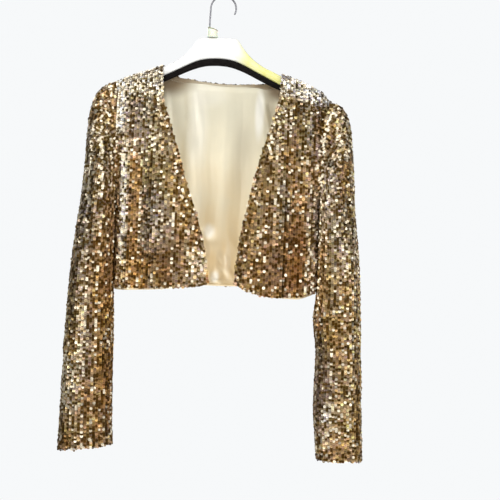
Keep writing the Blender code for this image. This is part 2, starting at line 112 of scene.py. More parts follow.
def waves(across, down, width, height, seed):
    """Soft uneven waves: the mean of six cosines whose lengths scatter round width and height."""
    draw = np.random.default_rng(seed)
    total = np.zeros(np.broadcast(across, down).shape)
    for _ in range(WAVE_TERMS):
        stretch = draw.uniform(*WAVE_STRETCH)
        phase = draw.uniform(0, 2 * math.pi, 2)
        bend = WAVE_BEND * np.cos(2 * math.pi * down / (height * stretch) + phase[1])
        total = total + np.cos(2 * math.pi * across / (width * stretch) + phase[0] + bend)
    return total / WAVE_TERMS


def squared_oval(turn, squareness):
    """Both coordinates of an oval, sign(c) |c|^(2/p), where c is the angle's cosine or sine."""
    return [np.sign(c) * np.abs(c) ** (2 / squareness) for c in (np.cos(turn), np.sin(turn))]


def add_object(name, data):
    """Put a camera, a lamp or a mesh into the scene."""
    item = bpy.data.objects.new(name, data)
    bpy.context.scene.collection.objects.link(item)
    return item


def put(tree, kind, inputs=None, **settings):
    """Add a node; an input is a number, a colour or another node's output."""
    node = tree.nodes.new(kind)
    for name, value in settings.items():
        setattr(node, name, value)
    for name, value in (inputs or {}).items():
        if isinstance(value, bpy.types.NodeSocket):
            tree.links.new(value, node.inputs[name])
        else:
            node.inputs[name].default_value = value
    return node


print("tools are ready")

# %% [markdown]
# ## The camera
# The photo looks straight at the blouse from about 1.8 m. One pixel covers 1.67 mm in the plane of
# the hanger, so the 500 pixels of a side cover 0.835 m there. The phone was held 2.2 degrees
# askew, which is a roll of the camera round its own line of sight.

# %% Place the camera
PHOTO_SIDE = 500
PIXEL = 1.67 * MM
CAMERA_DISTANCE = 1.8
CAMERA_PLACE = (0.0596, -CAMERA_DISTANCE, -0.4205)
CAMERA_ROLL = math.radians(2.2)

camera = add_object("camera", bpy.data.cameras.new("camera"))
camera.data.sensor_width = 36
camera.data.lens = camera.data.sensor_width * CAMERA_DISTANCE / (PHOTO_SIDE * PIXEL)
level, roll = Matrix.Rotation(math.pi / 2, 4, "X"), Matrix.Rotation(CAMERA_ROLL, 4, "Z")
camera.matrix_world = Matrix.Translation(CAMERA_PLACE) @ level @ roll
bpy.context.scene.camera = camera
print("lens:", round(camera.data.lens, 1), "mm")

# %% [markdown]
# ## Light, air and floor
# Sequins are small mirrors, so they show the room: a plain pale world, a few large soft boxes for
# the sparkle, and a pale floor below, as far down as a real floor is from a hook. The box called
# behind stands for a pale wall close to the back, which lights the cloth's edges. The world is
# dimmer as light than it looks, so that the soft boxes stand out in the mirrors.

# %% Light the studio
AIR = (0.93, 0.945, 0.955)
AIR_LIGHT = 0.36
LIGHT_AIM = Vector((0.0, 0.0, -0.42))
WHITE = (1, 1, 1)
# Each soft box has its place, its width and height, its power and its tint.
SOFT_BOXES = {
    "key": ((-1.2, -2.2, 0.75), (2.1, 2.0), 29, (1, 0.98, 0.95)),
    "fill": ((1.7, -1.9, 0.35), (1.6, 1.9), 21, WHITE),
    "front": ((0.2, -2.5, 0.6), (1.2, 1.0), 9, WHITE),
    "top": ((0.1, -0.9, 1.5), (1.4, 0.9), 14, WHITE),
    "crown": ((0.0, 0.8, 1.5), (1.6, 1.0), 18, WHITE),
    "low": ((-0.5, -2.3, -1.3), (1.4, 0.9), 5, (1, 0.97, 0.9)),
    "back": ((-1.2, 2.2, 0.6), (1.4, 1.4), 22, WHITE),
    "rim": ((1.6, 1.8, -0.1), (0.9, 1.3), 14, WHITE),
    "behind": ((0.0, 1.5, -0.4), (2.6, 2.0), 14, WHITE),
}

world = bpy.data.worlds.new("pale_air")
world.use_nodes = True
bpy.context.scene.world = world
air = world.node_tree
air.nodes.clear()
seen = put(air, "ShaderNodeBackground", {"Color": (*AIR, 1)})
lit = put(air, "ShaderNodeBackground", {"Color": (*AIR, 1), "Strength": AIR_LIGHT})
by_camera = put(air, "ShaderNodeLightPath").outputs["Is Camera Ray"]
either = put(air, "ShaderNodeMixShader", {"Fac": by_camera, 1: lit.outputs[0], 2: seen.outputs[0]})
put(air, "ShaderNodeOutputWorld", {"Surface": either.outputs[0]})
bpy.context.scene.view_settings.view_transform = "Standard"

for name, (place, size, power, tint) in SOFT_BOXES.items():
    lamp = bpy.data.lights.new(name, "AREA")
    lamp.shape = "RECTANGLE"
    lamp.size, lamp.size_y = size
    lamp.energy, lamp.color = power, tint
    light = add_object(name, lamp)
    light.location = place
    light.visible_camera = False
    light.rotation_euler = (LIGHT_AIM - Vector(place)).to_track_quat("-Z", "Y").to_euler()
print("soft boxes:", len(SOFT_BOXES))

# %% [markdown]
# ## Meshes from arrays
# Cloth here is a surface worked out as a grid of points. A real wall has two faces, so each wall
# is the grid moved out and in by half the thickness, with rims that close it. The same helper
# serves flat panels, and tubes whose last column meets the first. Every finished piece then rides
# on the frame's one body, and may stand for a imported solid.


# %% Turn arrays into meshes
def add_piece(name, points, quads, finishes, spots=None, uv=None):
    """Make an object from points in millimetres and rows of four point numbers."""
    mesh = bpy.data.meshes.new(name)
    mesh.vertices.add(len(points))
    mesh.vertices.foreach_set("co", (np.asarray(points) * MM).astype(np.float32).ravel())
    mesh.loops.add(quads.size)
    mesh.loops.foreach_set("vertex_index", quads.astype(np.int32).ravel())
    mesh.polygons.add(len(quads))
    mesh.polygons.foreach_set("loop_start", np.arange(0, quads.size, 4, dtype=np.int32))
    for finish in finishes:
        mesh.materials.append(finish)
    if spots is not None:
        mesh.polygons.foreach_set("material_index", spots.astype(np.int32))
    mesh.update(calc_edges=True)
    mesh.validate()
    if uv is not None:
        layer = mesh.uv_layers.new(name="cloth")
        layer.data.foreach_set("uv", uv[quads.ravel()].astype(np.float32).ravel())
    mesh.shade_smooth()
    return add_object(name, mesh)


def grid_quads(number, around=False):
    """Rows of four numbers round each cell of a grid; around joins the last column to the first."""
    right = np.roll(number, -1, axis=1) if around else number[:, 1:]
    left = number if around else number[:, :-1]
    return np.stack([left[:-1], right[:-1], right[1:], left[1:]], axis=-1).reshape(-1, 4)


def lengths(points, axis=0):
    """Running length along an axis of a grid of points."""
    steps = np.linalg.norm(np.diff(points, axis=axis), axis=-1)
    first = np.zeros_like(np.take(steps, [0], axis=axis))
    return np.cumsum(np.concatenate([first, steps], axis=axis), axis=axis)


def ring_steps(grid):
    """Distance from each point of a tube's rings to the next one round."""
    return np.linalg.norm(np.roll(grid, -1, axis=1) - grid, axis=-1)


def add_wall(name, grid, normals, thickness, finishes, around=False):
    """Make a closed wall: grid + normal * t / 2 outside, grid - normal * t / 2 inside, and rims.

    The first finish covers the outside and the rims, the last one the inside. The UV map holds
    the lengths across and down the cloth in metres.
    """
    rows, columns = grid.shape[:2]
    outer = np.arange(rows * columns).reshape(rows, columns)
    inner = outer + rows * columns
    faces = [grid_quads(outer, around), grid_quads(inner, around)[:, ::-1]]
    faces.append(grid_quads(np.stack([inner[0], outer[0]]), around))
    faces.append(grid_quads(np.stack([outer[-1], inner[-1]]), around))
    if not around:
        faces.append(grid_quads(np.stack([inner[:, 0], outer[:, 0]], axis=1)))
        faces.append(grid_quads(np.stack([outer[:, -1], inner[:, -1]], axis=1)))
    quads = np.concatenate(faces)
    spots = np.zeros(len(quads), dtype=int)
    spots[len(faces[0]):2 * len(faces[0])] = len(finishes) - 1
    facing = np.cross(grid[0, 1] - grid[0, 0], grid[1, 1] - grid[0, 0]) @ normals[0, 0]
    if facing > 0:
        quads = quads[:, ::-1]
    half = normals * thickness / 2
    points = np.concatenate([(grid + half).reshape(-1, 3), (grid - half).reshape(-1, 3)])
    uv = np.stack([lengths(grid, 1), lengths(grid, 0)], axis=-1).reshape(-1, 2) * MM
    return add_piece(name, points, quads, finishes, spots, np.concatenate([uv, uv]))


def grid_normals(grid, around=False):
    """Unit normals: the cross product of the steps across and down the grid."""
    if around:
        across = np.roll(grid, -1, axis=1) - np.roll(grid, 1, axis=1)
    else:
        across = np.gradient(grid, axis=1)
    return unit(np.cross(across, np.gradient(grid, axis=0)))


def panel_facing(grid):
    """Normals of a grid of the front or back, turned away from the hanger's plane."""
    normals = grid_normals(grid)
    return normals if (normals[..., 1].mean() > 0) == (grid[..., 1].mean() > 0) else -normals


def tube_facing(grid):
    """Normals of a tube, turned away from its middle line."""
    normals = grid_normals(grid, around=True)
    off = grid - grid.mean(axis=1, keepdims=True)
    return -normals if np.sum(normals * off, axis=-1).mean() < 0 else normals


def hang(piece, slot, *nodes):
    """Let a piece ride on the one body and stand for nodes, which it hides; slot is not used."""
    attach(piece, "root")
    if nodes:
        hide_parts(*nodes)
    print(piece.name, "has", len(piece.data.polygons), "faces")
    return piece


# %% [markdown]
# ## Effects that several finishes share
# Cloth and plastic are never one even tone. `threads` gives the relief of a weave, with one size
# across and one down the cloth. `clouds` gives a slow uneven mask, for faint shade and dulling.
# `spot` gives one soft oval, for the painted shade and painted highlights on the satin. They are
# node groups, built once, that put out only masks and heights.


# %% Build the shared groups
SPOT_MIDDLE = 0.3
CLOUD_RANGE = (0.25, 0.75)


def maths(tree, operation, *values, **settings):
    """Add one sum on up to three values."""
    inputs = dict(enumerate(values))
    return put(tree, "ShaderNodeMath", inputs, operation=operation, **settings).outputs[0]


def spread(tree, value, start=0.0, end=1.0, low=0.0, high=1.0, kind="LINEAR"):
    """Stretch a value's range from start to end over the one from low to high."""
    ends = {"Value": value, "From Min": start, "From Max": end, "To Min": low, "To Max": high}
    return put(tree, "ShaderNodeMapRange", ends, interpolation_type=kind).outputs[0]


def axis_of(tree, vector, axis):
    """One coordinate of a vector."""
    return put(tree, "ShaderNodeSeparateXYZ", {0: vector}).outputs[axis]


def new_group(name, inputs, output):
    """Start a node group with named sockets; a number is an input's usual value."""
    tree = bpy.data.node_groups.new(name, "ShaderNodeTree")
    for label, usual in inputs.items():
        kind = "NodeSocketVector" if usual is None else "NodeSocketFloat"
        socket = tree.interface.new_socket(label, in_out="INPUT", socket_type=kind)
        if usual is not None:
            socket.default_value = usual
    tree.interface.new_socket(output, in_out="OUTPUT", socket_type="NodeSocketFloat")
    return tree, tree.nodes.new("NodeGroupInput").outputs


def close_group(tree, value):
    """Give a value out of the group."""
    put(tree, "NodeGroupOutput", {0: value})
    print("group:", tree.name)
    return tree


def build_threads():
    """Height of a weave: half a product of two sine waves, one for warp and one for weft."""
    sizes = {"Vector": None, "Across": 0.0006, "Down": 0.0006}
    tree, given = new_group("threads", sizes, "Height")
    sines = []
    for axis, size in (("X", "Across"), ("Y", "Down")):
        turns = maths(tree, "DIVIDE", axis_of(tree, given["Vector"], axis), given[size])
        sines.append(maths(tree, "SINE", maths(tree, "MULTIPLY", turns, 2 * math.pi)))
    both = maths(tree, "MULTIPLY", *sines)
    return close_group(tree, maths(tree, "MULTIPLY_ADD", both, 0.5, 0.5))


def build_clouds():
    """Mask of slow clouds: noise of the given size, spread to the full range 0 to 1."""
    tree, given = new_group("clouds", {"Vector": None, "Size": 0.03}, "Mask")
    scale = maths(tree, "DIVIDE", 1.0, given["Size"])
    noise = put(tree, "ShaderNodeTexNoise", {"Vector": given["Vector"], "Scale": scale, "Detail": 3.0})
    return close_group(tree, spread(tree, noise.outputs["Fac"], *CLOUD_RANGE, kind="SMOOTHERSTEP"))


def build_spot():
    """Mask of a soft oval: smoothstep of 1 - |(vector - place) / size|, full in its middle."""
    tree, given = new_group("spot", {"Vector": None, "Place": None, "Size": None}, "Mask")
    off = given["Vector"]
    for operation, other in (("SUBTRACT", given["Place"]), ("DIVIDE", given["Size"])):
        off = put(tree, "ShaderNodeVectorMath", {0: off, 1: other}, operation=operation).outputs[0]
    away = put(tree, "ShaderNodeVectorMath", {0: off}, operation="LENGTH").outputs["Value"]
    return close_group(tree, spread(tree, away, 1.0, SPOT_MIDDLE, kind="SMOOTHSTEP"))


THREADS = build_threads()
CLOUDS = build_clouds()
SPOT = build_spot()


# %% Helpers for materials
def effect(tree, group, **inputs):
    """Place a shared group in a material."""
    return put(tree, "ShaderNodeGroup", inputs, node_tree=group).outputs[0]


def on_cloth(tree):
    """The cloth's own map: lengths across and down it in metres."""
    return put(tree, "ShaderNodeUVMap", uv_map="cloth").outputs[0]


def in_space(tree):
    """The place on the object, in metres."""
    return put(tree, "ShaderNodeTexCoord").outputs["Object"]


def clouded(tree, where, size, ends):
    """Clouds of one size, and a dullness or shade that drifts with them between two ends."""
    clouds = effect(tree, CLOUDS, Vector=where, Size=size)
    return clouds, spread(tree, clouds, low=ends[0], high=ends[1])


def mix(tree, mask, low, high):
    """Go from one colour to another by a mask; each is three numbers or a node's output."""
    tones = [tone if isinstance(tone, bpy.types.NodeSocket) else (*tone, 1) for tone in (low, high)]
    inputs = {0: mask, 6: tones[0], 7: tones[1]}
    return put(tree, "ShaderNodeMix", inputs, data_type="RGBA").outputs[2]


def new_material(name, colour, roughness, metallic=0.0, **constants):
    """Start a material: its constants sit on the shader's own sockets."""
    material = bpy.data.materials.new(name)
    material.use_nodes = True
    shader = material.node_tree.nodes["Principled BSDF"]
    shader.inputs["Base Color"].default_value = (*colour, 1)
    shader.inputs["Roughness"].default_value = roughness
    shader.inputs["Metallic"].default_value = metallic
    for label, value in constants.items():
        shader.inputs[label.replace("_", " ")].default_value = value
    return material, material.node_tree


def dress(material, colour=None, dull=None, height=None, depth=0.0, strength=1.0):
    """Let a colour, a dullness and a height, depth metres deep, drive the shader."""
    tree = material.node_tree
    relief = {"Height": height, "Distance": depth, "Strength": strength}
    normal = None if height is None else put(tree, "ShaderNodeBump", relief).outputs[0]
    sources = {"Base Color": colour, "Roughness": dull, "Normal": normal}
    for label, source in sources.items():
        if source is not None:
            tree.links.new(source, tree.nodes["Principled BSDF"].inputs[label])
    print("finish:", material.name)
    return material


def cloudy(name, tones, dull, size, metallic=0.0, depth=0.0, **constants):
    """A finish whose tone and dullness drift in clouds of one size, with depth metres of relief."""
    material, tree = new_material(name, tones[0], dull[0], metallic, **constants)
    clouds, rough = clouded(tree, in_space(tree), size, dull)
    height = clouds if depth else None
    return dress(material, mix(tree, clouds, *tones), rough, height, depth)


# %% [markdown]
# ## Finishes of the cloth
# Behind the sequins is a brown gold net, seen only between them. The lining is cream satin: dense,
# smooth and slightly shiny, with very fine level threads. Its top is darkened with painted shade of
# the hanger and neck, and it turns warmer towards the hem, partly because the gold cloth lies close
# behind it and partly as painted light. A handful of soft ovals give the painted shadow of the
# hanger at its corners, painted shade in folds, and painted highlights along its folds. The neck is
# bound with a matt taupe tape, with painted shade towards both ends. Weaves read the cloth's own UV
# map, in metres, so that they follow folds.

# %% Make the cloth finishes
NET_DARK = (0.09, 0.048, 0.014)
NET_LIGHT = (0.25, 0.15, 0.055)
NET_MESH = 0.0011
NET_CLOUDS, NET_DULL = 0.02, (0.45, 0.7)
# The satin's tones by height: the top tone is painted shade of the hanger and neck, and the warm foot
# is partly the gold cloth behind it and partly painted light.
SATIN_HEIGHTS = (-0.13, -0.50)
SATIN_WARMING = 0.42
SATIN_TONES_AND_PAINTED_SHADE = {0.0: (0.70, 0.66, 0.51), SATIN_WARMING: (0.85, 0.775, 0.58), 1.0: (0.88, 0.71, 0.44)}
SATIN_CLOUDS, SATIN_DULL = 0.07, (0.28, 0.34)
SATIN_UNEVEN = 0.2
SATIN_THREAD = (0.0009, 0.00035)
# Dark spots are painted shade, the hanger's shadow at the top corners and shade in folds; pale
# spots are painted highlights along folds. Each spot has its x and z, its reach both ways, all in
# metres, and its amount.
SATIN_PAINTED_SHADE_AND_HIGHLIGHTS = {
    (0.20, 0.135, 0.065): (
        (-0.092, -0.138, 0.062, 0.038, 1.0), (0.104, -0.148, 0.044, 0.030, 1.0),
        (0.041, -0.275, 0.026, 0.095, 0.16), (-0.086, -0.205, 0.026, 0.055, 0.05),
        (-0.034, -0.170, 0.030, 0.014, 0.10), (0.083, -0.192, 0.012, 0.055, 0.28),
        (0.010, -0.448, 0.011, 0.036, 0.26), (-0.014, -0.424, 0.008, 0.022, 0.2),
        (0.030, -0.405, 0.012, 0.050, 0.10),
    ),
    (1.0, 0.98, 0.90): (
        (0.067, -0.192, 0.011, 0.055, 0.8), (-0.020, -0.160, 0.045, 0.030, 0.25),
        (-0.038, -0.215, 0.026, 0.090, 0.3), (-0.012, -0.391, 0.014, 0.018, 0.9),
        (0.001, -0.468, 0.010, 0.013, 0.8), (0.022, -0.440, 0.008, 0.040, 0.3),
    ),
}
TAPE_LIGHT = (0.64, 0.55, 0.40)
TAPE_DARK = (0.46, 0.38, 0.26)
TAPE_RIB = (0.0007, 0.0009)
# The tape's ends are darkened with painted shade of the hanger.
TAPE_SHADE = (0.30, 0.22, 0.13)
TAPE_SHADE_REACH = (0.030, 0.062)
THREAD_TONE = (0.80, 0.72, 0.55)
THREAD_SHADE = tuple(0.7 * part for part in THREAD_TONE)


def make_net():
    """Brown gold net with an open weave."""
    material, tree = new_material("gold_net", NET_LIGHT, roughness=0.55, metallic=0.25)
    where = on_cloth(tree)
    weave = effect(tree, THREADS, Vector=where, Across=NET_MESH, Down=NET_MESH)
    dull = clouded(tree, where, NET_CLOUDS, NET_DULL)[1]
    return dress(material, mix(tree, weave, NET_DARK, NET_LIGHT), dull, weave, depth=0.0003)


def make_satin():
    """Cream satin: painted shade on top, warmer below, painted shade and highlights, fine threads."""
    material, tree = new_material("cream_satin", SATIN_TONES_AND_PAINTED_SHADE[SATIN_WARMING], roughness=0.38,
                                  metallic=0.32, Specular_IOR_Level=0.8)
    place = in_space(tree)
    low = spread(tree, axis_of(tree, place, "Z"), *SATIN_HEIGHTS)
    clouds, dull = clouded(tree, place, SATIN_CLOUDS, SATIN_DULL)
    uneven = maths(tree, "MULTIPLY_ADD", clouds, SATIN_UNEVEN, -SATIN_UNEVEN / 2)
    down = maths(tree, "ADD", low, uneven, use_clamp=True)
    # The ramp runs from painted shade at the top to the warmer foot.
    ramp = put(tree, "ShaderNodeValToRGB", {"Fac": down})
    ramp.color_ramp.elements.new(0.5)
    for stop, (position, colour) in zip(ramp.color_ramp.elements, SATIN_TONES_AND_PAINTED_SHADE.items()):
        stop.position = position
        stop.color = (*colour, 1)
    tone = ramp.outputs["Color"]
    # Painted shade and painted highlights: each spot mixes the tone towards its colour.
    for colour, spots in SATIN_PAINTED_SHADE_AND_HIGHLIGHTS.items():
        for x, z, wide, high, amount in spots:
            mask = effect(tree, SPOT, Vector=place, Place=(x, 0, z), Size=(wide, 1, high))
            tone = mix(tree, maths(tree, "MULTIPLY", mask, amount), tone, colour)
    across, down = SATIN_THREAD
    weave = effect(tree, THREADS, Vector=on_cloth(tree), Across=across, Down=down)
    return dress(material, tone, dull, weave, depth=0.00006, strength=0.5)


def make_tape():
    """Matt tape with upright ribs, cream in the middle, with painted shade towards both ends."""
    material, tree = new_material("taupe_tape", TAPE_LIGHT, roughness=0.75, Sheen_Weight=0.3)
    across, down = TAPE_RIB
    ribs = effect(tree, THREADS, Vector=on_cloth(tree), Across=across, Down=down)
    # Painted shade of the hanger towards both ends.
    reach = maths(tree, "ABSOLUTE", axis_of(tree, in_space(tree), "X"))
    ends = spread(tree, reach, *TAPE_SHADE_REACH)
    tone = mix(tree, ends, mix(tree, ribs, TAPE_DARK, TAPE_LIGHT), TAPE_SHADE)
    return dress(material, tone, height=ribs, depth=0.0002)


def make_thread():
    """Twisted sewing thread."""
    material, tree = new_material("cream_thread", THREAD_TONE, roughness=0.6, Sheen_Weight=0.2)
    place = in_space(tree)
    twist = put(tree, "ShaderNodeTexWave", {"Vector": place, "Scale": 900.0, "Distortion": 1.0})
    tone = mix(tree, effect(tree, CLOUDS, Vector=place, Size=0.004), THREAD_SHADE, THREAD_TONE)
    return dress(material, tone, height=twist.outputs["Fac"], depth=0.0001)


NET, SATIN, TAPE, THREAD = make_net(), make_satin(), make_tape(), make_thread()

# %% [markdown]
# ## Finish of a sequin
# A sequin is a cupped disc of foil, a tiny mirror of pale gold. Seen in a room, some are white
# flashes, some show dark parts of the room, and some are amber. A few thousand mirrors cannot all
# find that variety in a plain studio, so each sequin carries its own tint in a colour attribute, a
# painted reflection, and its own dullness in that colour's fourth number.

# %% Make the sequin finish
FOIL_TONE = (0.5, 0.36, 0.18)
FOIL_CLOUDS, FOIL_SHADE = 0.0025, (0.86, 1.06)


def make_foil():
    """Metal foil that reads its tint and dullness from the sequin it is on."""
    material, tree = new_material("sequin_foil", FOIL_TONE, roughness=0.25, metallic=1.0)
    tint = put(tree, "ShaderNodeVertexColor", layer_name="tint").outputs
    shade = clouded(tree, in_space(tree), FOIL_CLOUDS, FOIL_SHADE)[1]
    inputs = {0: tint["Color"], "Scale": shade}
    toned = put(tree, "ShaderNodeVectorMath", inputs, operation="SCALE").outputs[0]
    return dress(material, toned, tint["Alpha"])


FOIL = make_foil()

# %% [markdown]
# ## The cut of the blouse
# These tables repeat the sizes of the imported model: half widths down the body, the long V of the
# open front, the hems, the shoulder line over the hanger, and how deep the body stands off the
# hanger's plane. One formula turns a place on the front or back into a point, so a finer grid
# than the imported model's lies on the same surface.

# %% Sizes of the body
SEAM_GAP = 0.3
ARMHOLE_GAP = 0.4
CLOTH = 1.6
CAD_CLOTH = 2.0
UNDERARM_Z = -338.0
HANGER_X = -6.5
NECK_RISE = 25.0
SECTION_POWER = 3.0
SECTION_ROOT = 0.42
ARMHOLE_BULGE = 0.3
ARMHOLE_ROUND = 150.0
FOLD_START = (-0.15, 0.45)
FOLD_CLEAR_OF_SIDE = (4.0, 26.0)

OUTLINE = table(
    "z     right  left",
    (-140, 174, 188), (-165, 171, 187.5), (-178, 170, 184), (-194, 169.5, 175.5),
    (-230, 168.5, 172), (-338, 165.5, 171), (-420, 164.5, 171), (-500, 165, 172),
)
V_EDGE = table(
    "z     right  left",
    (-118, -97, 103), (-176, -92, 97), (-217, -79, 86), (-266, -63, 72), (-316, -48, 60),
    (-365, -30, 49.5), (-407, -18, 42.5), (-457, -8, 37), (-500, -4, 34),
)
HEM = table(
    "x     front  back",
    (-175, -490, -490), (-120, -489, -488), (-60, -486, -484), (-14, -481.5, -482),
    (-4, -476, -482), (34, -476, -482), (42, -481, -482), (62, -489, -482), (96, -496, -482),
    (135, -495, -483), (178, -483, -483),
)
SHOULDER = table(
    "reach  right   left",
    (88, -117.6, -117.6), (107.5, -126.3, -126.3), (145, -139.6, -139.6), (166, -149.2, -149.2),
    (174, -153, -154), (178, -155.5, -157.6), (185, -159, -165), (200, -167, -177),
)
DEPTH = table(
    "drop  front  back",
    (0, 0, 0), (1.5, 5.4, 5.4), (4, 8.4, 8.4), (9, 11, 11), (20, 15.5, 15), (50, 25, 22),
    (100, 36, 31), (160, 43, 38), (240, 48, 42), (340, 50, 45), (420, 50, 45),
)
NECKLINE = table(
    "inside  drop",
    (0, 0), (0.6, 0.65), (1.8, 2.6), (4.5, 8), (9, 14), (16, 20), (30, 28), (60, 39),
    (82, 43.6), (94, 44.8), (100, 45),
)
FOLD_COLUMNS = "top_x  hem_x  width  proud  top_z  hem_z"
FOLDS = {
    "front": table(
        FOLD_COLUMNS,
        (-150, -146, 11, 2.5, -230, -500), (-124, -118, 13, -2.5, -210, -500),
        (-92, -84, 16, 2.5, -260, -500), (-60, -48, 14, -2.0, -320, -500),
        (108, 92, 15, 2.5, -250, -500), (132, 122, 12, -3.0, -230, -500),
        (152, 148, 11, 2.5, -240, -500), (84, 66, 12, -2.0, -330, -500),
    ),
    "back": table(
        FOLD_COLUMNS,
        (-122, -128, 16, 4.0, -220, -500), (-86, -92, 14, -3.0, -200, -500),
        (-52, -50, 13, -4.0, -170, -470), (-27, -26, 11, 3.5, -165, -480),
        (8, 6, 17, -4.0, -165, -500), (46, 44, 15, 4.0, -175, -480),
        (76, 84, 13, -3.5, -150, -440), (118, 126, 17, 4.0, -220, -500),
    ),
}
RIPPLE = {"front": 0.55, "back": 0.5}
RIPPLE_SIZE = (17.0, 190.0)
RIPPLE_DROP = (12, 60)
print("folds:", {face: len(folds["width"]) for face, folds in FOLDS.items()})


# %% The surface of the body
def outline_x(side, z):
    """Distance of the armhole or side seam from the middle."""
    return smooth(OUTLINE, side, z)


def side_x(x, z):
    """The outline on the side that x is on."""
    return np.where(x > 0, outline_x("left", z), outline_x("right", z))


def ridge_z(x):
    """Height of the shoulder line, carried on in a low arch over the open neck."""
    right, left = V_EDGE["right"][0], V_EDGE["left"][0]
    reach = np.abs(x - HANGER_X)
    arm = np.where(x < HANGER_X, smooth(SHOULDER, "right", reach), smooth(SHOULDER, "left", reach))
    ends = smooth(SHOULDER, "left", np.abs(np.array([right, left]) - HANGER_X))
    share = np.clip((x - right) / (left - right), 0, 1)
    arch = ends[0] * (1 - share) + ends[1] * share + 4 * NECK_RISE * share * (1 - share)
    return np.where((x > right) & (x < left), arch, arm)


def fold_depth(folds, x, z):
    """Sum of upright bells: proud * exp(-((x - middle) / width)^2), growing down from the top."""
    total = np.zeros(np.broadcast(x, z).shape)
    for fold in rows_of(folds):
        down = (z - fold["top_z"]) / (fold["hem_z"] - fold["top_z"])
        middle = part_way(fold["top_x"], fold["hem_x"], np.clip(down, 0, 1))
        across = np.exp(-(((x - middle) / fold["width"]) ** 2))
        total = total + fold["proud"] * across * ease(down, *FOLD_START)
    return total


def body_points(face, x, z):
    """Point of the front or back at x, z.

    Depth is the table's depth for the drop below the shoulder, times
    (1 - (|x| / reach)^3)^0.42 to close in at the sides, plus folds and fine ripples that die
    away at the seams.
    """
    side = side_x(x, z)
    above = np.clip((z - UNDERARM_Z) / ARMHOLE_ROUND, 0, 1)
    reach = side * (1 + ARMHOLE_BULGE * above)
    across = np.clip(1 - (np.abs(x) / reach) ** SECTION_POWER, 0, 1) ** SECTION_ROOT
    drop = np.clip(ridge_z(x) - z, 0, None)
    depth = SEAM_GAP / 2 + smooth(DEPTH, face, drop) * across
    folds = fold_depth(FOLDS[face], x, z)
    fine = RIPPLE[face] * waves(x, z, *RIPPLE_SIZE, seed=SEED + len(face))
    fine = fine * ease(drop, *RIPPLE_DROP)
    depth = depth + (folds + fine) * ease(side - np.abs(x), *FOLD_CLEAR_OF_SIDE)
    return np.stack([x, depth * (-1 if face == "front" else 1), z], axis=-1)


# %% Grids of the fronts and back
ARM_STEPS = 60
SIDE_STEPS = 30
FRONT_STEPS = 64
SHOULDER_STEPS = 28
NECK_STEPS = 84
NECK_POINT_STEPS = (0.3, 0.6, 1.1, 1.8, 3.0, 4.5, 6.0)
SIDE_CROWDING = 1.4
SIDES = {"right": -1, "left": 1}


def arm_turns():
    """Angles round the front half of the armhole, from the shoulder to the underarm."""
    return np.linspace(0, math.pi, ARM_STEPS + 1)


def crowded(steps):
    """Shares from 0 to 1 that crowd together towards 1: 1 - (1 - t)^1.4."""
    return 1 - (1 - np.linspace(0, 1, steps + 1)) ** SIDE_CROWDING


def body_rows(top_z, hem_z):
    """Heights of a panel's rows: close together at shoulder and underarm."""
    share = (1 - np.cos(arm_turns()))[:, None] / 2
    below = np.linspace(0, 1, SIDE_STEPS + 1)[1:, None]
    return np.vstack([part_way(top_z, UNDERARM_Z, share), part_way(UNDERARM_Z, hem_z, below)])


def front_grid(side):
    """Grid of a front, from the V edge out to armhole and side."""
    sign, share = SIDES[side], crowded(FRONT_STEPS)
    hem_outer = sign * outline_x(side, HEM["front"][0 if sign < 0 else -1])
    top_z = ridge_z(part_way(V_EDGE[side][0], sign * OUTLINE[side][0], share))
    hem_z = smooth(HEM, "front", part_way(V_EDGE[side][-1], hem_outer, share))
    z = body_rows(top_z, hem_z)
    x = part_way(smooth(V_EDGE, side, z), sign * outline_x(side, z), share)
    return body_points("front", x, z)


def back_top_x():
    """Places of the back's columns along its top edge: shoulder, neckline, shoulder."""
    neck_right, neck_left = V_EDGE["right"][0], V_EDGE["left"][0]
    right = part_way(neck_right, -OUTLINE["right"][0], crowded(SHOULDER_STEPS))
    left = part_way(neck_left, OUTLINE["left"][0], crowded(SHOULDER_STEPS))
    first = np.array(NECK_POINT_STEPS)
    even = np.linspace(neck_right + first[-1], neck_left - first[-1], NECK_STEPS + 1)
    neck = np.concatenate([neck_right + first[:-1], even, neck_left - first[-2::-1]])
    return np.concatenate([right[::-1], neck, left])


def back_top_z(x):
    """Height of the back's top edge: the shoulder line, less the neckline's drop."""
    inside = np.minimum(x - V_EDGE["right"][0], V_EDGE["left"][0] - x)
    return ridge_z(x) - smooth(NECKLINE, "drop", np.clip(inside, 0, None))


def back_hem_z(share):
    """Height of the back's hem at a share of its width."""
    return smooth(HEM, "back", part_way(HEM["x"][0], HEM["x"][-1], share))


def across_back(share, z):
    """The x at a share of the way from the right side of the back to its left."""
    return part_way(-outline_x("right", z), outline_x("left", z), share)


def back_grid():
    """Grid of the back, from side to side under the neckline."""
    top_x = back_top_x()
    share = (top_x - top_x[0]) / (top_x[-1] - top_x[0])
    z = body_rows(back_top_z(top_x), back_hem_z(share))
    return body_points("back", across_back(share, z), z)


FRONTS = {side: front_grid(side) for side in SIDES}
BACK = back_grid()
print("front grid:", FRONTS["right"].shape, "back grid:", BACK.shape)

# %% Normals of the body
SLEEVE_LAP = 2.4
LAP_HEIGHTS = (6.0, 60.0)


def lap_share(z):
    """How far a seam has turned from butted edges to lapped walls at the underarm."""
    return 1 - ease(z - UNDERARM_Z, *LAP_HEIGHTS)


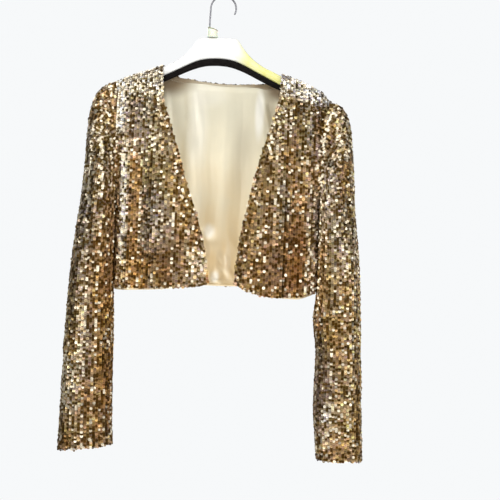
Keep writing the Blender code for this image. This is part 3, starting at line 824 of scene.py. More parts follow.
def panel_normals(grid, outer_columns):
    """Normals of a panel, turned so that its seam edges face the next piece squarely."""
    normals = panel_facing(grid)
    on_seam = np.abs(grid[0, :, 1]) < SEAM_GAP
    normals[0, on_seam, 1] = 0
    normals[0, on_seam] = unit(normals[0, on_seam])
    for column in outer_columns:
        normals[:ARM_STEPS + 1, column, 0] *= lap_share(grid[:ARM_STEPS + 1, column, 2])
        normals[ARM_STEPS:, column, 1] = 0
        normals[ARM_STEPS:, column] = unit(normals[ARM_STEPS:, column])
        normals[0, column] = UP
    return normals


normals = {"front_" + side: panel_normals(FRONTS[side], (-1,)) for side in SIDES}
normals["back"] = panel_normals(BACK, (0, -1))
print("panels with normals:", ", ".join(normals))

# %% [markdown]
# ## The sleeves
# A set-in sleeve starts on the armhole and ends at the cuff. Its first ring is the armhole edge of
# the front and back, and level rings of given width and depth go down the arm. In between, each
# point follows a curve with two handles, one that leaves the shoulder and one that arrives from
# below, which gives the rounded sleeve head.

# %% Sizes of the sleeves
SLEEVE_SQUARENESS = 2.4
SLEEVE_FLANK = (16.0, -8.0)
SLEEVE_UNDER = (0.2, -6.0)
CREASE_CLEAR_OF_BODY = (15.0, 50.0)
CAP_RINGS = 36
ARM_RINGS = 90
CAD_CAP_RINGS = 9
SLEEVE_RIPPLE = 0.6
SLEEVE_RIPPLE_SIZE = (16.0, 170.0)

SLEEVES = {
    "right": table(
        "z     inner  outer  half_depth  sway  tilt",
        (-352, 168.6, 222.5, 47, 0, 0), (-420, 168.2, 231, 44, 1, 0),
        (-490, 167.8, 236.5, 40, 3, 0), (-560, 165, 239.5, 36, 6, 0),
        (-650, 163, 241.5, 30, 9, 0), (-720, 161, 243.5, 25, 11, 3),
        (-755, 158, 244.5, 22, 12, 6),
    ),
    "left": table(
        "z     inner  outer  half_depth  sway  tilt",
        (-352, 174, 229, 47, 0, 0), (-420, 174.5, 238, 44, 1, 0),
        (-490, 174.8, 243.5, 40, 3, 0), (-530, 171.5, 245.5, 38, 4, 0),
        (-590, 177.5, 247.5, 34, 7, 0), (-670, 176.5, 251, 29, 9, 0),
        (-725, 181, 254, 25, 11, 0), (-761, 184, 256, 22, 12, 0),
    ),
}
SLEEVE_HEADS = {
    "right": {"reach": 54.0, "lift": -17.0, "pull": 150.0, "slim": 14.0},
    "left": {"reach": 33.0, "lift": -2.0, "pull": 135.0, "slim": 8.0},
}
SLEEVE_CREASES = table(
    "z     turn   along  across  slope  proud",
    (-300, 62, 70, 15, 0.0, -4.0), (-330, 100, 60, 16, 0.0, 3.0), (-440, 80, 80, 15, 0.0, -3.5),
    (-520, 118, 60, 16, 0.0, 3.0), (-610, 70, 22, 60, 0.35, 3.0), (-640, 95, 12, 55, 0.35, -4.0),
    (-668, 80, 12, 55, 0.25, 3.0), (-300, 285, 80, 16, 0.0, -4.0), (-470, 260, 90, 15, 0.0, 3.5),
    (-560, 295, 70, 16, 0.0, -3.5), (-640, 270, 14, 60, -0.3, -3.5),
)
print("sleeve creases:", len(SLEEVE_CREASES["z"]))


# %% The surface of a sleeve
def sleeve_ring(rows, sign, turn, z):
    """One level ring: an oval with x ~ |cos|^(2/2.4) and y ~ |sin|^(2/2.4)."""
    size = {name: smooth(rows, name, z) for name in rows if name != "z"}
    across, deep = squared_oval(turn, SLEEVE_SQUARENESS)
    half = (size["outer"] - size["inner"]) / 2
    x = sign * ((size["inner"] + size["outer"]) / 2 + across * half)
    y = -size["sway"] - deep * size["half_depth"]
    return np.stack([x, y, z - size["tilt"] * across], axis=-1)


def sleeve_relief(grid, sign, turn):
    """Creases as leaning bells, and fine ripples, along the sleeve's normals."""
    degrees = np.degrees(turn)[None, :]
    height = grid[..., 2]
    amount = np.zeros_like(height)
    for crease in rows_of(SLEEVE_CREASES):
        off = (degrees - crease["turn"] + 180) % 360 - 180
        lean = height - crease["z"] - crease["slope"] * off * sign
        fade = (lean / crease["along"]) ** 2 + (off / crease["across"]) ** 2
        amount += crease["proud"] * np.exp(-fade)
    girth = ring_steps(grid).sum(axis=1).mean()
    seed = SEED + 3 * (2 + sign)
    amount += SLEEVE_RIPPLE * waves(degrees / 360 * girth, height, *SLEEVE_RIPPLE_SIZE, seed=seed)
    amount *= ease(np.abs(180 - degrees), *CREASE_CLEAR_OF_BODY)
    amount *= ease(np.arange(len(grid))[:, None] / CAP_RINGS, 1 / CAD_CAP_RINGS, 1)
    return tube_facing(grid) * amount[..., None]


def sleeve_grid(side):
    """Rings from the armhole to the cuff.

    Between armhole and first level ring runs a cubic with two handles: hole (1 - t)^3 +
    3 (hole + leave) t (1 - t)^2 + 3 (ring + arrive) t^2 (1 - t) + ring t^3.
    """
    sign, rows, head = SIDES[side], SLEEVES[side], SLEEVE_HEADS[side]
    back = BACK[:, 0 if side == "right" else -1]
    hole = np.vstack([FRONTS[side][:ARM_STEPS + 1, -1], back[ARM_STEPS - 1:0:-1]]).copy()
    hole[:, 0] += sign * (ARMHOLE_GAP + lap_share(hole[:, 2]) * SLEEVE_LAP)
    hole[[0, ARM_STEPS], 1] = 0
    turn = np.concatenate([arm_turns(), 2 * math.pi - arm_turns()[-2:0:-1]])
    level_z = np.linspace(rows["z"][0], rows["z"][-1], ARM_RINGS)
    level = np.stack([sleeve_ring(rows, sign, turn, z) for z in level_z])
    top_share = (1 + np.cos(turn))[:, None] / 2
    outwards = np.array([sign * head["reach"], 0, head["lift"]])
    flank = np.array([sign * SLEEVE_FLANK[0], 0, SLEEVE_FLANK[1]])
    downwards = np.array([sign * SLEEVE_UNDER[0], 0, SLEEVE_UNDER[1]])
    upper = part_way(flank, outwards, ease(top_share, 0.5, 1.0))
    lower = part_way(downwards, flank, ease(top_share, 0.0, 0.5))
    leave = np.where(top_share > 0.5, upper, lower)
    fall = (hole[:, 2] - rows["z"][0])[:, None]
    arrive = np.array([-sign * head["slim"], 0, head["pull"]]) * fall / fall.max()
    t = np.linspace(0, 1, CAP_RINGS + 1)[:-1, None, None]
    cap = (
        hole * (1 - t) ** 3 + (hole + leave) * 3 * t * (1 - t) ** 2
        + (level[0] + arrive) * 3 * t**2 * (1 - t) + level[0] * t**3
    )
    grid = np.concatenate([cap, level])
    return grid + sleeve_relief(grid, sign, turn)


def sleeve_normals(grid, sign):
    """Normals of a sleeve, kept in the armhole's plane where it butts the body."""
    normals = tube_facing(grid)
    normals[0, :, 0] *= lap_share(grid[0, :, 2])
    normals[0, 0] = UP
    normals[0, ARM_STEPS] = (-sign, 0, 0)
    return normals


ARMS = {side: sleeve_grid(side) for side in SIDES}
for side, sign in SIDES.items():
    normals["sleeve_" + side] = sleeve_normals(ARMS[side], sign)
print("sleeve grid:", ARMS["right"].shape)

# %% [markdown]
# ## Sewing the walls
# Each panel becomes a closed wall with net outside and satin inside, riding on the one body of the
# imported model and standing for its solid. The back has net on both faces, because the lining
# hangs inside it.

# %% Sew the panels
GRIDS = {"front_" + side: grid for side, grid in FRONTS.items()}
GRIDS["back"] = BACK
GRIDS.update({"sleeve_" + side: grid for side, grid in ARMS.items()})
for key, grid in GRIDS.items():
    faces = [NET] if key == "back" else [NET, SATIN]
    wall = add_wall(key + "_cloth", grid, normals[key], CLOTH, faces, key.startswith("sleeve"))
    hang(wall, "sequined_cloth", "back_panel" if key == "back" else key)

# %% [markdown]
# ## Sowing sequins
# The sequins are sewn in upright rows, each one lapping over the next like a slate. So rows of
# lines are laid on the cloth, and each line is cut into equal steps. Where two lines drift apart a
# line between them joins in, and where they crowd every other one drops out.

# %% Lay rows on the cloth
SEQUIN_RADIUS = 2.45
ROW_PITCH = 4.4
STEP_PITCH = 3.35
ROW_START = (0.1, 0.9)
ROWS_APART = 10
CROWDED, SPARSE = 0.62, 1.42


def lay_rows(lines, facing, pitch, draw, spacing=None):
    """Places at equal steps along every line, with the cloth's normal and the way down there.

    The distance along a line is the running sum of its short steps. A place is where that sum
    reaches start + k * pitch. All lines are read in one go, each shifted by its own offset.
    """
    count, points = lines.shape[:2]
    run = lengths(lines, 1)
    total = run[:, -1:]
    wanted = draw.uniform(*ROW_START, (count, 1)) * pitch
    wanted = wanted + pitch * np.arange(int(total.max() / pitch) + 1)
    number = np.arange(count)[:, None]
    shift = number * (total.max() + ROWS_APART)
    spot = np.interp((wanted + shift).ravel(), (run + shift).ravel(), np.arange(run.size))
    spot = spot.reshape(wanted.shape)
    first = number * points
    low = np.clip(np.floor(spot), first, first + points - 2).astype(int)
    part = (spot - low)[..., None]
    keep = wanted < total
    if spacing is not None:
        room = spacing.ravel()[low]
        keep &= np.where(number % 2 == 1, room > SPARSE * ROW_PITCH, True)
        keep &= np.where(number % 4 == 2, room > CROWDED * ROW_PITCH, True)
    flat, facing = lines.reshape(-1, 3), facing.reshape(-1, 3)
    place = flat[low] * (1 - part) + flat[low + 1] * part
    normal = facing[low] * (1 - part) + facing[low + 1] * part
    down = unit((flat[low + 1] - flat[low])[keep])
    return {"place": place[keep], "normal": unit(normal[keep]), "down": down}


def half_lines(grid, facing, count):
    """Read 2 * count lines down a tube at even steps round it, with the room beside each."""
    run = np.concatenate([[0], np.cumsum(ring_steps(grid).mean(axis=0))])
    at = np.interp(np.linspace(0, run[-1], 2 * count + 1)[:-1], run, np.arange(len(run)))
    low = np.clip(np.floor(at).astype(int), 0, len(run) - 2)
    part = (at - low)[None, :, None]
    high = (low + 1) % grid.shape[1]
    lines = (grid[:, low] * (1 - part) + grid[:, high] * part).transpose(1, 0, 2)
    normal = (facing[:, low] * (1 - part) + facing[:, high] * part).transpose(1, 0, 2)
    room = np.linalg.norm(np.roll(lines, -1, axis=0) - np.roll(lines, 1, axis=0), axis=-1)
    return lines, normal, room


def join(*lots):
    """Put several lots of places together."""
    return {name: np.concatenate([lot[name] for lot in lots]) for name in lots[0]}


def only(lot, keep):
    """Keep some of a lot's places."""
    return {name: values[keep] for name, values in lot.items()}


print("rows every", ROW_PITCH, "mm, a sequin every", STEP_PITCH, "mm")

# %% [markdown]
# ## Tints of the sequins
# Sequins are mirrors, and whole folds catch the same part of the room, so their reflections run in
# upright streaks: gold, silver, amber, olive and cream. The tints hold these as painted reflections.
# Slow random fields place them, and a drawn chart adds the streaks that the eye finds on the real
# blouse: its cream and white streaks are painted highlights, and its rust, brown, shade and groove
# streaks are painted shade. On that ground each sequin falls by chance into one of four depths of
# painted reflection: dark, middle, light, or a white flash, which is a painted highlight. Dark and
# bright ones stand a little proud, so they show as whole discs. The cloth is warmer towards its
# foot, and the outer flanks of the sleeves, which see little light, are made paler with painted light.

# %% Chart the streaks
# Tints of the foil and its painted reflections: cream and white are painted highlights, shade and
# groove painted shade in folds and in the armhole crease.
HUES = {
    "gold": (0.300, 0.190, 0.060),
    "silver": (0.240, 0.204, 0.160),
    "amber": (0.245, 0.132, 0.048),
    "olive": (0.160, 0.127, 0.058),
    "mauve": (0.215, 0.152, 0.118),
    "rust": (0.155, 0.072, 0.024),
    "brown": (0.130, 0.076, 0.034),
    "shade": (0.145, 0.118, 0.086),
    "cream": (0.640, 0.520, 0.330),
    "white": (0.800, 0.800, 0.810),
    # The groove tint is painted shade in the crease between sleeve and body.
    "groove_shade": (0.175, 0.095, 0.036),
}
# Each field has its usual weight, its gain, and its waves' size across and down.
FIELDS = {
    "gold": (0.3, 1.5, (40.0, 200.0)),
    "silver": (-0.1, 4.4, (30.0, 110.0)),
    "amber": (-0.3, 4.4, (32.0, 130.0)),
    "olive": (-0.3, 4.4, (24.0, 90.0)),
    "mauve": (-0.6, 4.6, (26.0, 75.0)),
    "rust": (-1.1, 4.6, (22.0, 80.0)),
    "cream": (-1.7, 5.0, (20.0, 80.0)),
}
CHART_GAIN = 11.0
# Each streak is a painted reflection, with the x and z of its middle, its reach across and down,
# and its amount.
REFLECTION_CHART = {
    "front_right": {
        "groove_shade": [(-162, -400, 14, 130, 0.6)],
        "cream": [
            (-149, -350, 5, 110, 1.2), (-104, -246, 8, 22, 0.8), (-24, -442, 18, 22, 0.6),
            (-144, -455, 12, 24, 0.9), (-58, -350, 9, 45, 0.2), (-122, -142, 40, 23, 6.0),
            (-96, -190, 7, 50, 0.6),
        ],
        "white": [
            (-165, -188, 6, 34, 8.0), (-120, -139, 36, 19, 1.8), (-20, -445, 7, 9, 0.3),
            (-150, -350, 4, 80, 1.2),
        ],
        "amber": [
            (-132, -375, 8, 125, 3.6), (-62, -345, 12, 85, 0.8), (-117, -430, 12, 30, 1.2),
            (-130, -462, 24, 26, 0.9), (-35, -400, 9, 30, 0.8),
        ],
        "silver": [
            (-150, -390, 7, 95, 3.0), (-98, -380, 22, 50, 1.2), (-128, -215, 26, 50, 1.3),
            (-92, -250, 14, 30, 0.8), (-45, -455, 26, 34, 0.5),
        ],
        "olive": [(-112, -270, 16, 60, 1.1), (-82, -300, 11, 55, 0.9)],
        "gold": [
            (-90, -210, 14, 50, 0.5), (-128, -462, 26, 26, 1.2), (-54, -345, 12, 50, 1.3),
            (-131, -400, 6, 70, 1.4),
        ],
        "mauve": [(-78, -400, 14, 16, 1.0), (-128, -250, 14, 30, 0.8), (-104, -430, 10, 14, 0.6)],
        "brown": [(-166, -410, 9, 90, 7.0), (-76, -448, 21, 34, 3.0)],
        "shade": [(-90, -362, 17, 32, 1.1), (-139, -218, 13, 40, 0.9)],
        "rust": [
            (-134, -400, 5, 70, 1.6), (-45, -370, 7, 30, 0.5), (-78, -455, 18, 20, 0.7),
            (-160, -420, 7, 80, 0.9),
        ],
    },
    "front_left": {
        "groove_shade": [(164, -400, 17, 130, 0.8)],
        "cream": [
            (105, -203, 8, 20, 1.0), (147, -300, 5, 40, 0.2), (92, -235, 9, 45, 0.9),
            (68, -412, 8, 20, 0.5), (156, -430, 7, 55, 1.9), (128, -152, 30, 16, 0.9),
            (98, -330, 6, 60, 0.4),
        ],
        "amber": [
            (132, -400, 10, 70, 1.2), (104, -440, 24, 50, 1.0), (122, -300, 10, 60, 0.9),
            (152, -325, 14, 45, 1.8), (88, -330, 12, 90, 0.8),
        ],
        "white": [(118, -145, 13, 16, 2.2), (143, -152, 10, 16, 2.4), (166, -160, 11, 14, 3.0)],
        "silver": [(110, -330, 12, 40, 0.8), (160, -400, 9, 90, 2.4), (146, -170, 20, 20, 0.9)],
        "olive": [(118, -180, 18, 40, 0.7), (140, -240, 10, 50, 0.8), (86, -270, 14, 70, 0.9)],
        "gold": [(100, -290, 46, 190, 0.12), (66, -400, 14, 90, 0.6)],
        "mauve": [(88, -390, 12, 22, 0.9), (116, -215, 10, 30, 0.5), (100, -450, 20, 30, 1.0)],
        "brown": [(92, -440, 34, 38, 2.2), (130, -200, 14, 40, 0.5), (92, -310, 14, 50, 1.4)],
        "rust": [
            (142, -428, 18, 50, 9.0), (120, -388, 8, 14, 0.7), (134, -458, 12, 18, 0.8),
            (126, -172, 10, 14, 0.6),
        ],
    },
    "back": {},
    "sleeve_right": {
        "groove_shade": [(-171, -400, 12, 120, 0.6)],
        "cream": [
            (-172, -572, 7, 18, 1.1), (-211, -550, 6, 120, 0.4), (-230, -655, 9, 50, 1.6),
            (-235, -560, 7, 50, 0.4), (-198, -250, 12, 26, 0.9), (-204, -315, 9, 45, 1.1),
            (-184, -198, 12, 26, 0.5),
        ],
        "white": [(-212, -570, 4, 100, 0.2)],
        "gold": [(-174, -590, 12, 70, 3.0)],
        "amber": [
            (-184, -450, 12, 90, 1.1), (-178, -560, 12, 70, 1.6), (-170, -620, 12, 90, 2.5),
            (-195, -650, 14, 26, 0.8), (-184, -200, 10, 30, 1.2),
        ],
        "silver": [
            (-200, -560, 8, 90, 1.4), (-203, -300, 16, 60, 1.6), (-228, -670, 12, 40, 1.6),
            (-214, -410, 14, 90, 1.2),
        ],
        "olive": [(-232, -510, 9, 90, 1.4), (-222, -350, 12, 80, 0.8), (-222, -715, 16, 26, 0.6)],
        "brown": [(-172, -410, 9, 80, 5.0), (-190, -735, 26, 14, 0.5)],
        "rust": [(-171, -430, 6, 70, 2.0), (-172, -632, 14, 28, 1.6)],
        "shade": [(-210, -410, 17, 90, 2.0), (-190, -600, 16, 60, 1.4)],
    },
    "sleeve_left": {
        "groove_shade": [(178, -400, 12, 120, 0.7)],
        "cream": [
            (206, -680, 9, 14, 1.3), (212, -715, 26, 40, 0.5), (222, -440, 9, 30, 0.9),
            (230, -600, 10, 110, 1.0), (222, -312, 7, 40, 0.5), (182, -188, 14, 16, 0.6),
            (208, -240, 10, 30, 0.6), (190, -735, 8, 12, 0.8),
        ],
        "white": [(195, -688, 7, 10, 1.2)],
        "amber": [(224, -560, 14, 80, 0.5), (214, -735, 20, 22, 1.2), (212, -300, 12, 60, 0.7)],
        "gold": [(232, -610, 14, 130, 2.4), (222, -320, 10, 50, 2.4), (198, -545, 12, 30, 0.8)],
        "mauve": [(188, -652, 14, 34, 1.6)],
        "silver": [
            (194, -660, 14, 40, 1.5), (212, -400, 16, 70, 0.9), (184, -330, 10, 60, 2.0),
            (226, -590, 12, 100, 1.2), (186, -610, 8, 40, 1.0), (180, -188, 16, 16, 1.0),
        ],
        "olive": [(190, -580, 12, 30, 0.6), (192, -440, 12, 70, 0.7), (205, -520, 12, 30, 0.7)],
    },
}
print("streaks:", sum(len(rows) for chart in REFLECTION_CHART.values() for rows in chart.values()))

# %% Choose tints
# Depths of painted reflection: dark sequins are painted dark reflections, light ones brighter
# reflections, and flashes painted highlights.
DARK = {"share": 0.20, "tint": (0.038, 0.016, 0.001), "rim_gain": (0.30, 0.25, 0.14),
        "dull": 0.34, "lift": 1.0, "shun_white": 0.5}
LIGHT = {"share": 0.19, "gain": (1.3, 2.5), "dull": 0.36, "lift": 0.35}
FLASH = {"share": 0.034, "tint": (1.0, 0.87, 0.65), "gain": (0.5, 1.0), "dull": 0.34,
         "lift": 0.9, "size": (11.0, 15.0), "knots": 3.8, "seed": 8, "seek_shine": 2.5}
MIDDLE_DULL = 0.42
CENTRE_GAIN, RIM_GAIN = 0.62, 1.32
MIDDLE_SPREAD = 0.30
HUE_SPREAD = (0.045, 0.025, 0.15)
DARK_GAIN = {"sleeve_right": 1.4, "front_left": 1.1, "sleeve_left": 1.1}
GROUND_GAIN = {"sleeve_right": 1.15, "sleeve_left": 1.06, "front_right": 1.05}
CHAIN = {"size": (13.0, 45.0), "gain": 1.9, "seed": 9}
FRONT_FACING = 0.2
WARM_FROM = (380.0, 470.0)
WARM_GAIN = (1.0, 0.93, 0.85)
FOLD_SHADE_DAMPING, FOLD_SHADE_FULL = 0.6, 3.0
GROOVE_TURN = 2.2
SIDE_TURN = 0.85
# Painted light on the sleeves' outer flanks, which see little light.
PAINTED_SIDE_LIGHT = 2.2
OUTER_FROM = (195.0, 215.0)
SIDE_SINK = 0.8
# Kinds of streak: painted highlights, painted shade in the armhole crease, and painted shade in folds,
# where flashes and light sequins are fewer.
KINDS = {"shine": ("cream", "white"), "groove_shade": ("groove_shade",), "blaze": ("white",),
         "shade_fold": ("rust", "brown", "shade")}


def weigh_hues(lot, across, key, seed):
    """Ground tint of each sequin, and how much of each kind of streak lies on it.

    The ground is a mean of the hues, each weighed exp(usual + gain * field) + CHART_GAIN * mark,
    where a mark is amount * exp(-(x off / wide)^2 - (z off / long)^4) on the front.
    """
    x, down = lot["place"][:, 0], lot["place"][:, 2]
    in_front = lot["normal"][:, 1] < FRONT_FACING
    ground, total = np.zeros((len(x), 3)), np.zeros((len(x), 1))
    found = {kind: np.zeros(len(x)) for kind in KINDS}
    for number, (hue, tint) in enumerate(HUES.items()):
        weight = np.zeros(len(x))
        if hue in FIELDS:
            usual, gain, size = FIELDS[hue]
            weight = np.exp(usual + gain * waves(across, down, *size, seed=seed + number))
        for middle, height, wide, long, amount in REFLECTION_CHART[key].get(hue, ()):
            off, along = (x - middle) / wide, (down - height) / long
            mark = amount * np.exp(-(off**2) - along**4) * in_front
            weight = weight + CHART_GAIN * mark
            for kind, hues in KINDS.items():
                if hue in hues:
                    found[kind] = found[kind] + mark
        ground += weight[:, None] * np.array(tint)
        total += weight[:, None]
    return ground / total, found


def tint_sequins(lot, across, key, seed, draw):
    """Tint, dullness and lift of each sequin.

    The ground scatters a little, turns warmer below WARM_FROM and is paler, with painted light, where
    the sleeve's outer flank turns aside. The depth is drawn: dark ones come in chains and shun white
    streaks, and flashes, painted highlights, come in knots, seek the chart's painted highlights and
    spare its folds of painted shade. Sequins in the armhole's crease and on the flanks are turned
    forwards, and those on the flanks lie a little deeper.
    """
    x, down = lot["place"][:, 0], lot["place"][:, 2]
    count = len(x)
    ground, found = weigh_hues(lot, across, key, seed)
    ground = ground * np.exp(draw.normal(0, MIDDLE_SPREAD, (count, 1)))
    ground *= GROUND_GAIN.get(key, 1.0) * np.exp(draw.normal(0, HUE_SPREAD, (count, 3)))
    ground *= 1 - ease(-down, *WARM_FROM)[:, None] * (1 - np.array(WARM_GAIN))
    in_front = lot["normal"][:, 1] < FRONT_FACING
    aside = in_front * (1 - np.clip(-lot["normal"][:, 1], 0, 1)) ** 2
    # Painted light makes the outer flanks of the sleeves paler.
    ground *= 1 + PAINTED_SIDE_LIGHT * (aside * ease(np.abs(x), *OUTER_FROM))[:, None]
    # Fewer flashes and light sequins in folds of painted shade.
    quiet = 1 - FOLD_SHADE_DAMPING * np.clip(found["shade_fold"], 0, FOLD_SHADE_FULL) / FOLD_SHADE_FULL
    chains = CHAIN["gain"] * waves(across, down, *CHAIN["size"], seed=seed + CHAIN["seed"])
    knots = FLASH["knots"] * waves(across, down, *FLASH["size"], seed=seed + FLASH["seed"])
    chance = draw.random(count)
    fewer = np.exp(chains - DARK["shun_white"] * found["blaze"])
    dark = chance < DARK["share"] * DARK_GAIN.get(key, 1.0) * fewer
    more = np.exp(knots - chains) * (1 + FLASH["seek_shine"] * found["shine"]) * quiet
    flash = chance > 1 - FLASH["share"] * more
    bright = draw.random(count) < LIGHT["share"] * (1 + found["shine"]) * quiet
    light = ~dark & ~flash & bright
    brighter = draw.uniform(*LIGHT["gain"], (count, 1))
    white = np.array(FLASH["tint"]) * draw.uniform(*FLASH["gain"], (count, 1))
    dull = np.full((count, 1), MIDDLE_DULL)
    parts = [np.concatenate([ground * gain, dull], axis=1) for gain in (CENTRE_GAIN, RIM_GAIN)]
    for part in parts:
        part[light, :3] *= brighter[light]
        part[light, 3] = LIGHT["dull"]
        part[flash, :3] = white[flash]
        part[flash, 3] = FLASH["dull"]
    centre, rim = parts
    centre[dark] = (*DARK["tint"], DARK["dull"])
    rim[dark, :3] *= DARK["rim_gain"]
    forwards = np.maximum(GROOVE_TURN * np.clip(2 * found["groove_shade"], 0, 1), SIDE_TURN * aside)
    lot["normal"] = unit(lot["normal"] - forwards[:, None] * np.array([0, 1, 0]))
    lift = DARK["lift"] * dark + LIGHT["lift"] * light + FLASH["lift"] * flash - SIDE_SINK * aside
    return np.clip(np.stack([centre, rim], axis=1), 0, 1), lift


print("shares drawn: dark", DARK["share"], "light", LIGHT["share"], "flash", FLASH["share"])

# %% [markdown]
# ## One mesh of many discs
# A sequin is a seven-sided cup with a hole, fourteen triangles. Thousands of them could be
# instances, but one mesh for each panel is worked out from arrays in a moment, and each disc can
# then have its own tilt, spin, size and tint.

# %% Make the sequins
CORNERS = 7
HOLE = 0.19
LEAN = math.radians(9)
TILT = math.radians(6.5)
LOOSE_SHARE, LOOSE_GAIN = 0.12, 2.7
SIZE_SPREAD = 0.05
LIFT = 0.65
TILT_LIFT = 0.4
CUP = (0.025, 0.16)


def add_sequins(name, lot, tint, proud, draw):
    """Make one mesh of cupped discs.

    A disc's axis is the cloth's normal, leaned up by its lap over the next and tilted at random.
    Its points are centre + u * r cos a + v * r sin a + axis * height, on two rings.
    """
    count = len(lot["place"])
    gain = np.where(draw.random((count, 1)) < LOOSE_SHARE, LOOSE_GAIN, 1.0)
    lean = LEAN + draw.normal(0, TILT, (count, 1)) * gain
    sway = draw.normal(0, TILT, (count, 1)) * gain
    across = unit(np.cross(lot["down"], lot["normal"]))
    axis = unit(lot["normal"] - lot["down"] * lean + across * sway)
    u = unit(across - axis * np.sum(across * axis, axis=1, keepdims=True))
    v = np.cross(axis, u)
    corner = np.arange(CORNERS)
    spin = draw.uniform(0, 2 * math.pi, (count, 1)) + corner * 2 * math.pi / CORNERS
    radius = SEQUIN_RADIUS * draw.normal(1, SIZE_SPREAD, (count, 1))
    ring = np.cos(spin)[..., None] * u[:, None] + np.sin(spin)[..., None] * v[:, None]
    tilted = radius * np.abs(np.hypot(lean, sway)) * TILT_LIFT
    lift = CLOTH / 2 + LIFT + tilted + proud[:, None]
    centre = (lot["place"] + lot["normal"] * lift)[:, None]
    cup = (radius * draw.uniform(*CUP, (count, 1)))[..., None] * axis[:, None]
    hole = centre + ring * radius[..., None] * HOLE
    points = np.concatenate([hole, centre + ring * radius[..., None] + cup], axis=1)
    after = (corner + 1) % CORNERS
    cell = np.stack([corner, corner + CORNERS, after + CORNERS, after], axis=-1)
    quads = (np.arange(count)[:, None, None] * 2 * CORNERS + cell).reshape(-1, 4)
    piece = add_piece(name, points.reshape(-1, 3), quads, [FOIL])
    layer = piece.data.color_attributes.new("tint", "FLOAT_COLOR", "POINT")
    colour = np.repeat(tint, CORNERS, axis=1)
    layer.data.foreach_set("color", colour.astype(np.float32).ravel())
    return hang(piece, "sequined_cloth")


def sew_on(key, lot, across, seed, draw):
    """Tint a panel's sequins and make their mesh."""
    tint, proud = tint_sequins(lot, across, key, seed, draw)
    add_sequins(key + "_sequins", lot, tint, proud, draw)


# %% [markdown]
# ## Sequins on the fronts and back
# The cloth's rows stand upright, so the V edge and the neckline cut them off. Along the V edge a
# few rows follow the edge itself, as the folded edge of the real cloth does, and one row runs
# along each hem. The upright rows fill what is left.

# %% Sow the body
EDGE_ROWS = 4
EDGE_INSET = 1.0
EDGE_LAP = 0.4
EDGE_STRAY = 0.9
EDGE_STEP = 1.15 * STEP_PITCH
EDGE_COLUMNS = {"inward": 12, "facing": 4}
HEM_STRAY = 1.1
HEM_ROW_RISE = 1.0
NECK_STRAY = 0.5
NECK_ROW_RISE = -1.4
NECK_CLEAR = 3
SEAM_CLEAR = 0.6
SLOPE_REACH = 5
WIDEST = 190.0
FINE = 1.2
LINE_POINTS = 330
LINE_CROWDING = 1.25


def body_lines(face, first_x, last_x, top_of):
    """Upright lines a row pitch apart along the cloth, from the top edge to the hem."""
    fine_x = np.arange(first_x, last_x, FINE)
    run = lengths(body_points(face, fine_x, np.full_like(fine_x, UNDERARM_Z)))
    x = np.interp(np.arange(ROW_PITCH / 2, run[-1], ROW_PITCH), run, fine_x)[:, None]
    share = np.linspace(0, 1, LINE_POINTS)[None, :] ** LINE_CROWDING
    z = part_way(top_of(x), smooth(HEM, face, x), share)
    lines = body_points(face, np.broadcast_to(x, z.shape), z)
    return lines, panel_facing(lines)


def edge_row(line, facing, rise, draw, stray=HEM_STRAY):
    """One row along an edge, raised by rise, whose sequins hang straight down a little unevenly."""
    row = lay_rows((line + np.array([0, 0, rise]))[None], facing[None], EDGE_STEP, draw)
    count = len(row["place"])
    row["place"] = row["place"] + draw.normal(0, stray, (count, 1)) * UP
    row["down"] = np.tile(-UP, (count, 1))
    return row


def sow_front(side, draw):
    """Sequins of one front: upright rows clear of the V edge, rows along it, a hem row."""
    sign, grid, facing = SIDES[side], FRONTS[side], normals["front_" + side]
    ends = sorted((V_EDGE[side][-1], sign * WIDEST))
    rows = lay_rows(*body_lines("front", *ends, ridge_z), STEP_PITCH, draw)
    x, z = rows["place"][:, 0], rows["place"][:, 2]
    edge, above, below = (smooth(V_EDGE, side, z + rise) for rise in (0, SLOPE_REACH, -SLOPE_REACH))
    away = sign * (x - edge) / np.hypot(1, (above - below) / (2 * SLOPE_REACH))
    clear = away > EDGE_INSET + (EDGE_ROWS - EDGE_LAP) * ROW_PITCH
    rows = only(rows, clear & (sign * x < outline_x(side, z) - SEAM_CLEAR))
    inward = unit(grid[:, EDGE_COLUMNS["inward"]] - grid[:, 0])
    insets = EDGE_INSET + ROW_PITCH * np.arange(EDGE_ROWS)
    along = np.stack([grid[:, 0] + inward * inset for inset in insets])
    edge_facing = np.stack([facing[:, EDGE_COLUMNS["facing"]]] * EDGE_ROWS)
    beside = lay_rows(along, edge_facing, STEP_PITCH, draw)
    stray = draw.normal(0, EDGE_STRAY, (len(beside["place"]), 1))
    beside["place"] = beside["place"] + stray * np.array([sign, 0.0, 0.0])
    return join(rows, beside, edge_row(grid[-1], facing[-1], HEM_ROW_RISE, draw))


def sow_back(draw):
    """Sequins of the back: upright rows between the armholes, a neck row and a hem row."""
    rows = lay_rows(*body_lines("back", -WIDEST, WIDEST, back_top_z), STEP_PITCH, draw)
    x, z = rows["place"][:, 0], rows["place"][:, 2]
    rows = only(rows, np.abs(x) < side_x(x, z) - SEAM_CLEAR)
    neck_row = edge_row(BACK[0], normals["back"][2], NECK_ROW_RISE, draw, NECK_STRAY)
    neck_row = only(neck_row, np.abs(neck_row["place"][:, 1]) > NECK_CLEAR)
    return join(rows, neck_row, edge_row(BACK[-1], normals["back"][-1], HEM_ROW_RISE, draw))


for number, side in enumerate(SIDES):
    draw = np.random.default_rng(SEED + number)
    lot = sow_front(side, draw)
    sew_on("front_" + side, lot, lot["place"][:, 0], 10 * (number + 1), draw)
draw = np.random.default_rng(SEED + 5)
lot = sow_back(draw)
sew_on("back", lot, lot["place"][:, 0], 50, draw)

# %% [markdown]
# ## Sequins on the sleeves
# Rows run down the sleeve from the armhole to the cuff. The sleeve narrows, so the lines come
# closer together on the way, and the rule about crowded lines thins them out. Two rows round the
# cuff follow its hem.

